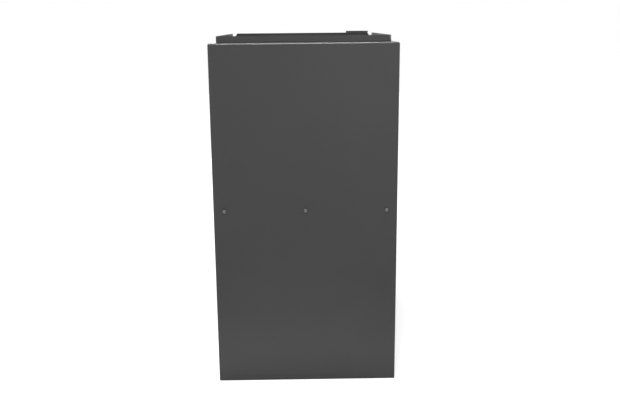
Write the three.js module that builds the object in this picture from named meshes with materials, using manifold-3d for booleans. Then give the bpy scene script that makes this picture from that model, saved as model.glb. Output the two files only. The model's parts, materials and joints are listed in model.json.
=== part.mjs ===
// Forced air gas furnace: an upflow, condensing warm-air cabinet in folded sheet steel.
//
// Millimetres, +Z up. The back panel faces +Y and the doors face -Y, so +X is on the right of
// someone who stands at the doors. The cabinet is drawn with its back face at y = 0, and the whole
// is then moved so that the origin lies at the middle of its footprint, on the floor.

import * as THREE from 'three';
import { mergeVertices } from 'three/addons/utils/BufferGeometryUtils.js';
import Module from 'manifold-3d';

// ---------------------------------------------------------------------------------------------
// Driving dimensions
// ---------------------------------------------------------------------------------------------

const sheet = 1;                 // folded steel sheet
const seatGap = 0.3;             // between pieces that lie against each other
const runningFit = 0.05;         // round a shaft that turns in its bearing
const slidingFit = 0.2;          // round a button or plunger in its guide

const cabinet = {
  width: 445, height: 838, depth: 699,
  cornerRadius: 3,               // upright folds between the back and the sides
  topFoldRadius: 5,              // folds at the top of the back and the sides
  frontReturn: 16,               // inward fold along the front edges of the sides
};

const supply = {                 // duct opening in the top, and its turned-up flanges
  inset: 18.6, depth: 495, flangeHeight: 16,
  rearCut: 5, sideCut: 8, frontCut: 12,   // slant at the ends of each flange
};

const deck = {                   // shelf between the blower and the burner compartment
  fromTop: 384, rearFold: 25, sideClear: 0.6,
};

const rearScrew = {              // hex head with a washer face, into the deck's rear fold
  edgeInset: 27, acrossFlats: 8, headHeight: 4, washerRadius: 5.5, washerHeight: 1,
  shankRadius: 2.1, shankLength: 13, holeClearance: 0.4,
};

const base = {                   // floor pan with the return-air opening
  frontLip: 38, sideLip: 20, marginX: 38, marginFront: 70, marginRear: 45,
};

const rail = {                   // channel across the front, between the two doors
  belowDeck: 42, height: 78, flange: 25,
};

const door = {
  depth: 24.7, lip: 12, splitGap: 3, floorGap: 10,
  cornerRadius: 3, pullWidth: 130, pullHeight: 26, pullDepth: 14, pullInset: 42,
  travel: 150,
};

const knob = {                   // captive thumb screw with a lobed plastic head
  radius: 12, height: 12, lobes: 6, lobeRadius: 3.2, collarRadius: 7, collarHeight: 1.6,
  shankRadius: 3, shankReach: 33, spanX: 150, fromSplit: 24, holeClearance: 1,
};

const liner = { thickness: 12, margin: 24, bottomMargin: 70 };   // padding in the lower door

const sight = { radius: 15, rimRadius: 19, rimHeight: 1.4, glassHeight: 3.2 };

const topPlate = { frontLip: 22 };   // closes the burner compartment above

const burner = {
  count: 3, pitch: 95, middleX: 15, aboveDeck: 316,
  panelGap: 20, length: 95, mouthRadius: 19, throatRadius: 11, inletRadius: 17,
  wall: 1.2, throatAt: 0.62, flareLength: 26,
};

const exchanger = {              // serpentine primary tubes
  radius: 22, wall: 1.5, aboveFins: 32,
  rearBendFromBack: 115, frontBendClear: 73, bendSteps: 4, sides: 10,
};

const couplingBox = {            // joins the tubes to the finned exchanger, at the rear
  backClear: 20, depth: 58, width: 332, aboveDeck: 8, overTubes: 13, wall: 1.5,
};

const finned = {                 // secondary exchanger under the tubes
  width: 330, aboveDeck: 14, height: 68, endPlate: 2, fin: 1.2, fins: 5,
  columns: 5, rows: 2, tubeRadius: 8, tubeSides: 6,
};

const collector = {              // moulded header in front of the finned exchanger
  reach: 135, aboveDeck: 11, height: 183, depth: 32, wall: 3,
  drainInset: 22, drainRadius: 8, drainLength: 9, portRadius: 4, portLength: 10, portRise: 40,
};

const inducer = {                // draught blower that draws the flue gas through
  centreX: 15, aboveDeck: 121, radius: 74, depth: 64, wall: 3, cavityRadius: 66,
  inletRadius: 24, ductHeight: 54, ductReach: 108, boltFlange: 88, flangeThick: 3,
  motorRadius: 42, motorLength: 60, motorEndRadius: 30, motorEndLength: 8,
  wheelRadius: 56, wheelDepth: 26, wheelClear: 12, plate: 2, blades: 12, bladeThick: 1.6,
  hubRadius: 10, shaftRadius: 4, bearingDepth: 30,
};

const vent = {                   // flue pipe up to the collar on top
  returnClear: 0.9, radius: 30, wall: 3, bend: 42, topStand: 8,
  collarRadius: 33, collarWall: 2.6, collarTop: 20, collarFlange: 37, collarFlangeThick: 3,
  bandHeight: 9, bandProud: 1.2,
};

const airInlet = {               // combustion-air ring in the top plate
  returnClear: 14.9, fromPanel: 85, radius: 30, wall: 3, rise: 6, drop: 20, flange: 38, flangeThick: 2,
};

const bracket = {                // folded shelf that carries the burners and the gas pipe
  overhang: 47, depth: 132, foot: 22, lipHeight: 16, earWidth: 28, earRise: 44, earFromFront: 34,
  saddleWidth: 22, saddleInset: 30,
};

const gasPipe = { radius: 13, fromPanel: 134, leftReach: 110, spudRadius: 4, spudReach: 5, capFlats: 17,
  capLength: 8 };

const gasValve = {
  wallClear: 7.5, width: 56, depth: 74, height: 84, fromPanel: 102, portRadius: 15, portBore: 10,
  portLength: 12, towerRadius: 12, towerHeight: 16, solenoidRadius: 19, solenoidHeight: 16,
  knobRadius: 11, knobHeight: 9, knobDrop: 16, pointer: 3, spindleRadius: 3, spindleLength: 5,
  knobTurn: 90,
};

const igniter = { reach: 30, bladeThick: 2, bladeHeight: 6, bodyRadius: 6, bodyLength: 26,
  fromPanel: 12, plateWidth: 16, plateHeight: 22 };

const rollout = { radius: 12.5, height: 10, buttonRadius: 3.5, buttonHeight: 5, buttonTravel: 2.5 };

const limit = { centreX: 62, belowBurners: 58, radius: 12, height: 12, plate: 34, probeRadius: 5,
  probeLength: 30, holeClearance: 1 };

const pressure = {               // pressure switch and its hose
  wallClear: 1.5, aboveDeck: 148, radius: 31, height: 20, rimRadius: 34, rimHeight: 4, footHeight: 12,
  portRadius: 3, portLength: 10, portY: 12, hoseRadius: 3.6, hoseBend: 16,
};

const trap = {                   // condensate trap on the left wall, with its drain hose
  depth: 66, width: 42, height: 122, belowRail: 20, fromFront: 96, neckRadius: 9, neckLength: 10,
  wall: 3, hoseRadius: 9, hoseBend: 20, hoseDrop: 26, outletRadius: 8, outletLength: 14,
};

const blower = {                 // scroll housing under the deck
  fromBack: 232, centreZ: 200, width: 232, wall: 1.2,
  startRadius: 139, growth: 52, startAngle: 120, arcSteps: 20,
  inletRadius: 108, inletLip: 9, lipWall: 2,
};

const wheel = {                  // forward-curved double-inlet wheel
  radius: 127, bladeDepth: 17, width: 204, blades: 24, bladeThick: 1.2, bladeSweep: 20,
  ring: 3, web: 2, hubRadius: 20, hubLength: 36, shaftRadius: 6.35, shaftLeft: 24,
  shaftInMotor: 60,
};

const motor = { radius: 70, length: 112, gapToHub: 14, endRadius: 58, endStep: 5, podRadius: 50,
  podLength: 22 };

const mount = { bandHeight: 3, bandWidth: 26, bandFromEnd: 10, arms: 3, armWidth: 18, armThick: 3,
  padWidth: 16, lugRadius: 124 };

const panelBoard = {             // plate, circuit board and transformer behind the lower door
  left: -120, right: 152, drop: 126, fromFront: 50,
  boardLeft: -104, boardWidth: 172, boardHeight: 100, boardThick: 1.6, standoff: 8,
  standoffRadius: 3, boardDrop: 14, cells: 12,
};

// What stands on the circuit board. Places and spans are in cells of the board's own grid.
const relay = { row: 4.4, wide: 1.4, high: 1.2, tall: 16 };
const header = { row: 0.4, wide: 2.4, high: 0.7, tall: 9 };
const boardBlocks = [
  { ...relay, column: 2 }, { ...relay, column: 4 }, { ...relay, column: 6 },
  { ...header, column: 1.5 }, { ...header, column: 4.5 }, { ...header, column: 8 },
  { column: 9, row: 4.6, wide: 1.3, high: 0.5, tall: 9 },      // fuse
  { column: 10.6, row: 1.8, wide: 0.7, high: 3.4, tall: 9 },   // terminal strip
];
const can = { row: 2.6, radius: 1 / 2.6, tall: 16 };
const boardCans = [{ ...can, column: 1 }, { ...can, column: 2.4 }];

const transformer = { width: 58, height: 62, depth: 40, core: 16, coilInset: 8, gap: 12 };

const interlock = {              // door switch in the rail, pressed by the lower door's lip
  centreX: 60, bodyWidth: 26, bodyHeight: 18, bodyDepth: 24, plungerRadius: 4, plungerLength: 16,
  travel: 3, holeClearance: 0.8,
};

const junction = { width: 52, depth: 64, belowRail: 100, height: 86, fromFront: 74, wall: 1.5,
  cover: 1.5, coverLip: 3, entryRadius: 11 };

const harness = { radius: 5, bend: 18, holeClearance: 6, belowRail: 96 };

// ---------------------------------------------------------------------------------------------
// Places that several pieces share
// ---------------------------------------------------------------------------------------------

const halfWidth = cabinet.width / 2;
const innerHalf = halfWidth - sheet;
const supplyHalf = halfWidth - supply.inset;           // outer faces of the duct flanges
const openingHalf = supplyHalf - sheet;
const openingRear = -supply.inset - sheet;
const frontEdge = -cabinet.depth;
const railFace = frontEdge + sheet + seatGap;
const panelBack = -(supply.inset + supply.depth);      // rear face of the vestibule panel
const panelFront = panelBack - sheet;
const deckTop = cabinet.height - deck.fromTop;
const deckUnder = deckTop - sheet;
const railBottom = deckTop - rail.belowDeck;
const railTop = railBottom + rail.height;
const splitHeight = (railBottom + railTop) / 2;
const topPlateTop = cabinet.height - sheet - seatGap;
const topPlateUnder = topPlateTop - sheet;
const doorBack = frontEdge - seatGap;
const doorFront = doorBack - door.depth;
const doorInner = doorFront + sheet;
const screwHeight = deckTop - deck.rearFold / 2;
const burnerX = [...Array(burner.count).keys()]
  .map((i) => burner.middleX + (i - (burner.count - 1) / 2) * burner.pitch);
const burnerZ = deckTop + burner.aboveDeck;
const finsBottom = deckTop + finned.aboveDeck;
const lowestPass = finsBottom + finned.height + exchanger.aboveFins + exchanger.radius;
const passPitch = (burnerZ - lowestPass) / 2;
const boxBottom = deckTop + couplingBox.aboveDeck;
const boxTop = lowestPass + exchanger.radius + couplingBox.overTubes;
const tubeFront = panelBack + seatGap;
const boxFront = -(couplingBox.backClear + couplingBox.depth);
const collectorLeft = inducer.centreX - collector.reach;
const collectorRight = inducer.centreX + collector.reach;
const collectorBottom = deckTop + collector.aboveDeck;
const portZ = collectorBottom + collector.portRise;
const drainX = collectorLeft + collector.drainInset;
const headerFront = panelFront - seatGap - collector.depth;
const inducerBack = headerFront - seatGap;
const inducerFront = inducerBack - inducer.depth;
const inducerMiddle = (inducerBack + inducerFront) / 2;
const inducerZ = deckTop + inducer.aboveDeck;
const ductZ = inducerZ + inducer.radius - inducer.ductHeight / 2;
const gasPipeY = panelFront - gasPipe.fromPanel;
const limitZ = burnerZ - limit.belowBurners;
const shelfTop = burnerZ - burner.mouthRadius - seatGap;
const blowerY = -blower.fromBack;
const scrollEnd = blower.startRadius + blower.growth;
const cutoffAngle = THREE.MathUtils.degToRad(blower.startAngle);
const motorLeft = wheel.hubLength / 2 + motor.gapToHub;
const knobFace = doorFront - knob.height - knob.collarHeight - seatGap;
const drainY = (panelFront - seatGap + headerFront) / 2;
const airInletX = openingHalf - airInlet.returnClear - airInlet.flange;
const ventX = -(openingHalf - vent.returnClear - vent.collarFlange);
const pressureX = innerHalf - pressure.wallClear - pressure.rimRadius;
const pressureZ = deckTop + pressure.aboveDeck;
const airInletY = panelFront - airInlet.fromPanel;
const valveFront = panelFront - gasValve.fromPanel - gasValve.depth;
const valveLeft = innerHalf - gasValve.wallClear - gasValve.width;
const valveX = valveLeft + gasValve.width / 2;
const harnessX = valveX;
const harnessY = railFace + rail.flange + harness.radius + harness.holeClearance;
const valveMiddleY = valveFront + gasValve.depth / 2;
const valvePortY = valveFront + gasValve.depth - gasValve.portRadius - gasValve.portLength / 2;
const gasKnobZ = burnerZ - gasValve.knobDrop;
const bracketLeft = burnerX[0] - bracket.overhang;
const bracketRight = burnerX[burner.count - 1] + bracket.overhang;
const earFront = panelFront - seatGap - bracket.depth + bracket.earFromFront;
const rolloutZ = shelfTop + bracket.earRise - rollout.radius - sheet;
const interlockZ = splitHeight - (door.splitGap + door.lip) / 2;
const pressurePortY = panelFront - seatGap - pressure.footHeight - pressure.portY;
const trapTop = railBottom - trap.belowRail;
const trapBottom = trapTop - trap.height;
const harnessRunZ = railBottom - harness.belowRail;
const junctionTop = railBottom - junction.belowRail;
const junctionBottom = junctionTop - junction.height;
const trapX = -innerHalf + seatGap + trap.width / 2;
const trapY = frontEdge + trap.fromFront + trap.depth / 2;
const motorRight = motorLeft + motor.length;
const lugX = blower.width / 2 + blower.inletLip + seatGap;
const boardPlateFront = frontEdge + panelBoard.fromFront;
const boardPlateTop = railBottom - seatGap;
const rearReach = seatGap + rearScrew.washerHeight + rearScrew.headHeight;

// ---------------------------------------------------------------------------------------------
// Shape helpers
// ---------------------------------------------------------------------------------------------

const wasm = await Module();
wasm.setup();

/** A closed three.js geometry as a solid that can be cut and joined. */
function toSolid(geometry) {
  const bare = geometry.clone();
  bare.deleteAttribute('normal');
  bare.deleteAttribute('uv');
  const merged = mergeVertices(bare, 1e-4);
  const corners = merged.index.array;
  const triangles = [];
  for (let i = 0; i < corners.length; i += 3) {
    const [a, b, c] = [corners[i], corners[i + 1], corners[i + 2]];
    if (a !== b && b !== c && c !== a) triangles.push(a, b, c);
  }
  return new wasm.Manifold(new wasm.Mesh({
    numProp: 3,
    vertProperties: Float32Array.from(merged.attributes.position.array),
    triVerts: Uint32Array.from(triangles),
  }));
}

/** The solid as a three.js geometry. */
function toGeometry(solid) {
  const mesh = solid.getMesh();
  const geometry = new THREE.BufferGeometry();
  geometry.setAttribute('position', new THREE.BufferAttribute(mesh.vertProperties, mesh.numProp));
  geometry.setIndex(new THREE.BufferAttribute(mesh.triVerts, 1));
  geometry.computeVertexNormals();
  return geometry;
}

const joined = (...solids) => solids.reduce((whole, piece) => whole.add(piece));
const cut = (solid, ...tools) => tools.reduce((left, tool) => left.subtract(tool), solid);

/** A box between two corners, given as [low, high] on each axis. */
function block([x0, x1], [y0, y1], [z0, z1]) {
  const geometry = new THREE.BoxGeometry(x1 - x0, y1 - y0, z1 - z0);
  geometry.translate((x0 + x1) / 2, (y0 + y1) / 2, (z0 + z1) / 2);
  return toSolid(geometry);
}

/** Turns a geometry drawn about +Z so that it points along the named axis. */
function aim(geometry, axis) {
  if (axis === 'x') geometry.rotateY(Math.PI / 2);
  if (axis === 'y') geometry.rotateX(-Math.PI / 2);
  return geometry;
}

const along = { x: [1, 0, 0], y: [0, 1, 0], z: [0, 0, 1] };

/** Moves a geometry so that its own origin lies at a point, `from` along the axis. */
function shift(geometry, axis, from, [x, y, z]) {
  const [dx, dy, dz] = along[axis];
  return geometry.translate(x + dx * from, y + dy * from, z + dz * from);
}

/** A round bar along an axis, from one place to another, about a centre point. */
function rod(axis, radius, [from, to], centre, sides = 24) {
  const geometry = new THREE.CylinderGeometry(radius, radius, to - from, sides);
  geometry.rotateX(Math.PI / 2).translate(0, 0, (to - from) / 2);
  return toSolid(shift(aim(geometry, axis), axis, from, centre));
}

/** A turned piece: [radius, height] points from the axis and back to it, about an axis. */
function turned(axis, profile, from, centre, sides = 24) {
  const points = profile.map(([radius, height]) => new THREE.Vector2(radius, height));
  const geometry = new THREE.LatheGeometry(points, sides);
  geometry.rotateX(Math.PI / 2);
  return toSolid(shift(aim(geometry, axis), axis, from, centre));
}

/** A ring whose [radius, height] outline closes on itself. */
function ring(axis, profile, from, centre, sides = 24) {
  return turned(axis, [...profile, profile[0]], from, centre, sides);
}

/** A flat outline given in (x, z), drawn out along Y between two places. */
function plateXZ(points, [y0, y1]) {
  const outline = new THREE.Shape(points.map(([x, z]) => new THREE.Vector2(x, z)));
  const geometry = new THREE.ExtrudeGeometry(outline, { depth: y1 - y0, bevelEnabled: false });
  geometry.rotateX(Math.PI / 2).translate(0, y1, 0);
  return toSolid(geometry);
}

/** A flat outline given in (y, z), drawn out along X between two places. */
function plateYZ(points, [x0, x1]) {
  const outline = new THREE.Shape(points.map(([y, z]) => new THREE.Vector2(y, z)));
  const geometry = new THREE.ExtrudeGeometry(outline, { depth: x1 - x0, bevelEnabled: false });
  geometry.rotateX(Math.PI / 2).rotateZ(Math.PI / 2).translate(x0, 0, 0);
  return toSolid(geometry);
}

/** An outline with rounded corners, for `plateXZ` and `plateYZ`; radii run round its corners. */
function roundedOutline([u0, u1], [v0, v1], radii, steps = 4) {
  const corners = [[u0, v0, Math.PI], [u1, v0, -Math.PI / 2], [u1, v1, 0], [u0, v1, Math.PI / 2]];
  return corners.flatMap(([u, v, start], corner) => {
    const radius = radii[corner];
    if (!radius) return [[u, v]];
    const centreU = u + (u === u0 ? radius : -radius);
    const centreV = v + (v === v0 ? radius : -radius);
    return [...Array(steps + 1).keys()].map((step) => {
      const angle = start + (step / steps) * (Math.PI / 2);
      return [centreU + radius * Math.cos(angle), centreV + radius * Math.sin(angle)];
    });
  });
}

const sameKnot = 1e-3;           // closer knots are one

/** A path of straight runs and round bends whose rings stand exactly at its own knots. */
class PipeRoute extends THREE.Curve {
  constructor(corners, bendRadius, bendSteps) {
    super();
    this.knots = [];
    this.directions = [];
    const points = corners.map((corner) => new THREE.Vector3(...corner));
    this.addKnot(points[0], points[1].clone().sub(points[0]).normalize());
    for (let i = 1; i < points.length - 1; i += 1) {
      const before = points[i].clone().sub(points[i - 1]).normalize();
      const after = points[i + 1].clone().sub(points[i]).normalize();
      this.addBend(points[i], before, after, bendRadius, bendSteps);
    }
    const last = points.length - 1;
    this.addKnot(points[last], points[last].clone().sub(points[last - 1]).normalize());
  }

  addKnot(point, direction) {
    const last = this.knots[this.knots.length - 1];
    if (last && last.distanceTo(point) < sameKnot) return;
    this.knots.push(point);
    this.directions.push(direction);
  }

  addBend(corner, before, after, radius, steps) {
    const turn = before.angleTo(after);
    const trim = radius * Math.tan(turn / 2);
    const start = corner.clone().addScaledVector(before, -trim);
    const towardCentre = after.clone().addScaledVector(before, -before.dot(after)).normalize();
    for (let step = 0; step <= steps; step += 1) {
      const angle = (step / steps) * turn;
      const point = start.clone().addScaledVector(before, radius * Math.sin(angle))
        .addScaledVector(towardCentre, radius * (1 - Math.cos(angle)));
      const direction = before.clone().multiplyScalar(Math.cos(angle))
        .addScaledVector(towardCentre, Math.sin(angle));
      this.addKnot(point, direction);
    }
  }

  getPoint(t, target = new THREE.Vector3()) {
    return target.copy(this.knots[Math.round(t * (this.knots.length - 1))]);
  }

  getPointAt(u, target) {
    return this.getPoint(u, target);
  }

  getTangentAt(u, target = new THREE.Vector3()) {
    return target.copy(this.directions[Math.round(u * (this.knots.length - 1))]);
  }
}

/** A round section, with a bore if one is asked for. */
function roundSection(radius, bore, sides) {
  const circle = (r) => [...Array(sides).keys()].map((i) => {
    const angle = (i / sides) * 2 * Math.PI;
    return new THREE.Vector2(r * Math.cos(angle), r * Math.sin(angle));
  });
  const section = new THREE.Shape(circle(radius));
  if (bore) section.holes.push(new THREE.Path(circle(bore).reverse()));
  return section;
}

/** A pipe along a route with round bends, with a bore if one is asked for. */
function pipe(corners, { radius, bore = 0, bend, bendSteps = 6, sides = 12 }) {
  const route = new PipeRoute(corners, bend, bendSteps);
  const geometry = new THREE.ExtrudeGeometry(roundSection(radius, bore, sides), {
    steps: route.knots.length - 1, extrudePath: route,
  });
  return toSolid(geometry);
}

const group = new THREE.Group();

/** A group of the furnace that its pieces are added to. */
function section() {
  const part = new THREE.Group();
  group.add(part);
  return part;
}

/** Adds one named piece to a section, in its finish and at its place. */
function addPiece(part, name, solid, finish, place = [0, 0, 0]) {
  const mesh = new THREE.Mesh(toGeometry(solid), new THREE.MeshStandardMaterial(finish));
  mesh.name = name;
  mesh.position.set(...place);
  part.add(mesh);
}

const finishes = {
  greyPaint: { color: 0x4a4a4a, roughness: 0.5, metalness: 0.1 },
  zincSteel: { color: 0xa8abad, roughness: 0.42, metalness: 0.9 },
  aluminisedSteel: { color: 0x9a9a96, roughness: 0.55, metalness: 0.8 },
  aluminium: { color: 0xb9bcbe, roughness: 0.4, metalness: 0.95 },
  castAluminium: { color: 0x9da0a1, roughness: 0.6, metalness: 0.85 },
  blackPipe: { color: 0x2b2a29, roughness: 0.6, metalness: 0.5 },
  blackPlastic: { color: 0x1d1d1e, roughness: 0.5, metalness: 0 },
  whitePlastic: { color: 0xe6e5e0, roughness: 0.45, metalness: 0 },
  blackRubber: { color: 0x171717, roughness: 0.8, metalness: 0 },
  redPlastic: { color: 0xa31f1a, roughness: 0.4, metalness: 0 },
  motorPaint: { color: 0x2c2d2f, roughness: 0.5, metalness: 0.3 },
  ceramic: { color: 0xe9e4d8, roughness: 0.8, metalness: 0 },
  board: { color: 0x1f5a34, roughness: 0.5, metalness: 0 },
  silicone: { color: 0x8f3b2a, roughness: 0.6, metalness: 0 },
  glass: { color: 0xcfd6d8, roughness: 0.08, metalness: 0 },
  foil: { color: 0xc9cbcc, roughness: 0.35, metalness: 0.9 },
};

// ---------------------------------------------------------------------------------------------
// Cabinet
// ---------------------------------------------------------------------------------------------

const hull = section();

/** A block with rounded upright corners at the back, and folds rounded along its top. */
function foldedBox(half, back, front, [bottom, top], cornerRadius, foldRadius) {
  const plan = new THREE.Shape(roundedOutline([-half, half], [front, back],
    [0, 0, cornerRadius, cornerRadius]).map(([x, y]) => new THREE.Vector2(x, y)));
  const upright = new THREE.ExtrudeGeometry(plan, { depth: top - bottom, bevelEnabled: false });
  upright.translate(0, 0, bottom);
  const across = roundedOutline([front, back], [bottom, top], [0, 0, foldRadius, 0]);
  const endwise = roundedOutline([-half, half], [bottom, top], [0, 0, foldRadius, foldRadius]);
  return toSolid(upright)
    .intersect(plateYZ(across, [-half, half]))
    .intersect(plateXZ(endwise, [front, back]));
}

/** All the room inside the folded sheet, less the gap that the inner pieces keep to it. */
function insideCasing() {
  return foldedBox(innerHalf - seatGap, -sheet - seatGap, frontEdge,
    [0, cabinet.height - sheet - seatGap], cabinet.cornerRadius - sheet,
    cabinet.topFoldRadius - sheet);
}

/** An upright duct flange, slanted at its ends: `span` at the foot, less at the top edge. */
function flangeOutline([from, to], cutFrom, cutTo, [bottom, top]) {
  return [[from, bottom], [to, bottom], [to - cutTo, top], [from + cutFrom, top]];
}

/** Back and both sides, folded from one sheet, with the flanges round the supply opening. */
function casingWrap() {
  const foot = [0, cabinet.height];
  const outer = foldedBox(halfWidth, 0, frontEdge, foot, cabinet.cornerRadius,
    cabinet.topFoldRadius);
  const inner = foldedBox(innerHalf, -sheet, frontEdge + sheet, [-sheet, cabinet.height - sheet],
    cabinet.cornerRadius - sheet, cabinet.topFoldRadius - sheet);
  const mouth = block([-halfWidth + cabinet.frontReturn, halfWidth - cabinet.frontReturn],
    [frontEdge - sheet, frontEdge + 2 * sheet], [-sheet, cabinet.height + sheet]);
  const opening = block([-openingHalf, openingHalf],
    [frontEdge - sheet, openingRear], [deckTop, cabinet.height + sheet]);
  const rise = [cabinet.height - sheet, cabinet.height + supply.flangeHeight];
  const rear = plateXZ(flangeOutline([-supplyHalf, supplyHalf], supply.rearCut, sheet, rise),
    [openingRear, -supply.inset]);
  const sides = [-1, 1].map((side) => plateYZ(
    flangeOutline([panelBack + sheet, -supply.inset], supply.sideCut, supply.sideCut / 2, rise),
    side < 0 ? [-supplyHalf, -openingHalf] : [openingHalf, supplyHalf]));
  const holes = screwPlaces().map(([x]) => rod('y',
    rearScrew.shankRadius + rearScrew.holeClearance, [-2 * sheet, sheet], [x, 0, screwHeight], 12));
  const trimmed = cut(outer, inner, mouth, opening);
  return cut(joined(trimmed, rear, ...sides), ...holes);
}

/** The three screws in a level row across the back. */
function screwPlaces() {
  const reach = halfWidth - rearScrew.edgeInset;
  return [[-reach, 'left'], [0, 'middle'], [reach, 'right']];
}

/** Sheet-metal screw: hex head on a washer face, with its shank along -Y from the origin. */
function hexScrew() {
  const hexRadius = rearScrew.acrossFlats / 2 / Math.cos(Math.PI / 6);
  const washerTop = seatGap + rearScrew.washerHeight;
  return joined(
    rod('y', rearScrew.washerRadius, [seatGap, washerTop], [0, 0, 0], 20),
    rod('y', hexRadius, [seatGap, washerTop + rearScrew.headHeight], [0, 0, 0], 6),
    rod('y', rearScrew.shankRadius, [-rearScrew.shankLength, washerTop], [0, 0, 0], 10));
}

/** Shelf under the exchanger compartment, with the blower outlet and the hose and wire holes. */
function blowerDeck() {
  const half = innerHalf - deck.sideClear;
  const rear = -sheet - seatGap;
  const front = railFace + sheet + seatGap;
  const plate = block([-half, half], [front, rear], [deckUnder, deckTop]);
  const fold = block([-half, half], [rear - sheet, rear], [deckTop - deck.rearFold, deckTop]);
  const outlet = block(...blowerOutlet(0), [deckUnder - sheet, deckTop + sheet]);
  const screwHoles = screwPlaces().map(([x]) => rod('y',
    rearScrew.shankRadius + rearScrew.holeClearance, [rear - 2 * sheet, rear + sheet],
    [x, 0, screwHeight], 12));
  const hoseHole = rod('z', trap.hoseRadius + harness.holeClearance,
    [deckUnder - sheet, deckTop + sheet], [drainX, drainY, 0], 16);
  const wireHole = rod('z', harness.radius + harness.holeClearance,
    [deckUnder - sheet, deckTop + sheet], [harnessX, harnessY, 0], 16);
  return cut(joined(plate, fold).intersect(insideCasing()), outlet, hoseHole, wireHole, ...screwHoles);
}

/** Floor pan: a frame round the return-air opening, with a lip turned up on every side. */
function basePan() {
  const half = innerHalf - seatGap;
  const rear = -sheet - seatGap;
  const front = frontEdge + sheet + seatGap;
  const outer = block([-half, half], [front, rear], [0, base.frontLip]);
  const hollow = block([-half + sheet, half - sheet], [front + sheet, rear - sheet],
    [sheet, base.frontLip + sheet]);
  const aboveSides = block([-half - sheet, half + sheet], [front + sheet, rear + sheet],
    [base.sideLip, base.frontLip + sheet]);
  const opening = block([-half + base.marginX, half - base.marginX],
    [front + base.marginFront, rear - base.marginRear], [-sheet, base.sideLip]);
  return cut(outer.intersect(insideCasing()), hollow, aboveSides, opening);
}

/** Channel across the front between the doors, with holes for the screws and the door switch. */
function frontRail() {
  const half = innerHalf - seatGap;
  const back = railFace + rail.flange;
  const outer = block([-half, half], [railFace, back], [railBottom, railTop]);
  const hollow = block([-half - sheet, half + sheet], [railFace + sheet, back + sheet],
    [railBottom + sheet, railTop - sheet]);
  const through = [railFace - sheet, railFace + 2 * sheet];
  const knobHoles = knobPlaces().map(([x, z]) => rod('y', knob.shankRadius + knob.holeClearance,
    through, [x, 0, z], 16));
  const switchHole = rod('y', interlock.plungerRadius + interlock.holeClearance, through,
    [interlock.centreX, 0, interlockZ], 16);
  return cut(outer, hollow, switchHole, ...knobHoles);
}

/** Plate over the burner compartment, with the front duct flange and two collar holes. */
function vestibuleTop() {
  const half = innerHalf - seatGap;
  const front = frontEdge + sheet + seatGap;
  const plate = block([-half, half], [front, panelBack], [topPlateUnder, topPlateTop]);
  const lip = block([-half, half], [front, front + sheet],
    [topPlateTop - topPlate.frontLip, topPlateTop]);
  const flangeHalf = openingHalf - seatGap;
  const flange = plateXZ(flangeOutline([-flangeHalf, flangeHalf], supply.frontCut,
    supply.frontCut, [topPlateUnder, cabinet.height + supply.flangeHeight]),
  [panelBack - sheet, panelBack]);
  const through = [topPlateUnder - sheet, topPlateTop + sheet];
  const ventHole = rod('z', vent.radius + sheet, through, [ventX, inducerMiddle, 0], 24);
  const airHole = rod('z', airInlet.radius + sheet, through, [airInletX, airInletY, 0], 24);
  const fitted = joined(plate, lip).intersect(insideCasing());
  return cut(joined(fitted, flange), ventHole, airHole);
}

/** Upright sheet between the burners and the exchanger, with a hole for each flame. */
function vestibulePanel() {
  const half = innerHalf - seatGap;
  const plate = block([-half, half], [panelFront, panelBack],
    [deckTop + seatGap, topPlateUnder - seatGap]);
  const through = [panelFront - sheet, panelBack + sheet];
  const flames = burnerX.map((x) => rod('y', exchanger.radius - exchanger.wall, through,
    [x, 0, burnerZ], 16));
  const flueHalf = finned.width / 2 - collector.depth;
  const flue = block([-flueHalf, flueHalf], through,
    [finsBottom + sheet, finsBottom + finned.height - sheet]);
  const probe = rod('y', limit.probeRadius + limit.holeClearance, through,
    [limit.centreX, 0, limitZ], 12);
  return cut(plate.intersect(insideCasing()), flue, probe, ...flames);
}

addPiece(hull, 'casing_wrap', casingWrap(), finishes.greyPaint);
addPiece(hull, 'base_pan', basePan(), finishes.zincSteel);
addPiece(hull, 'blower_deck', blowerDeck(), finishes.zincSteel);
addPiece(hull, 'front_rail', frontRail(), finishes.zincSteel);
addPiece(hull, 'vestibule_top', vestibuleTop(), finishes.greyPaint);
addPiece(hull, 'vestibule_panel', vestibulePanel(), finishes.zincSteel);
for (const [x, side] of screwPlaces()) {
  addPiece(hull, `deck_screw_${side}`, hexScrew(), finishes.zincSteel, [x, 0, screwHeight]);
}

// ---------------------------------------------------------------------------------------------
// Heat exchanger
// ---------------------------------------------------------------------------------------------

const heat = section();

/** One serpentine tube in the plane x = 0: back from the flame, forward, and back to the box. */
function exchangerTube() {
  const top = burnerZ;
  const half = passPitch / 2;
  const rearCorner = -exchanger.rearBendFromBack + half;
  const frontCorner = panelBack + exchanger.frontBendClear - half;
  const corners = [
    [0, tubeFront, top], [0, rearCorner, top], [0, rearCorner, top - passPitch],
    [0, frontCorner, top - passPitch], [0, frontCorner, lowestPass],
    [0, boxFront - seatGap, lowestPass],
  ];
  return pipe(corners, {
    radius: exchanger.radius, bore: exchanger.radius - exchanger.wall,
    bend: half, bendSteps: exchanger.bendSteps, sides: exchanger.sides,
  });
}

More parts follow.
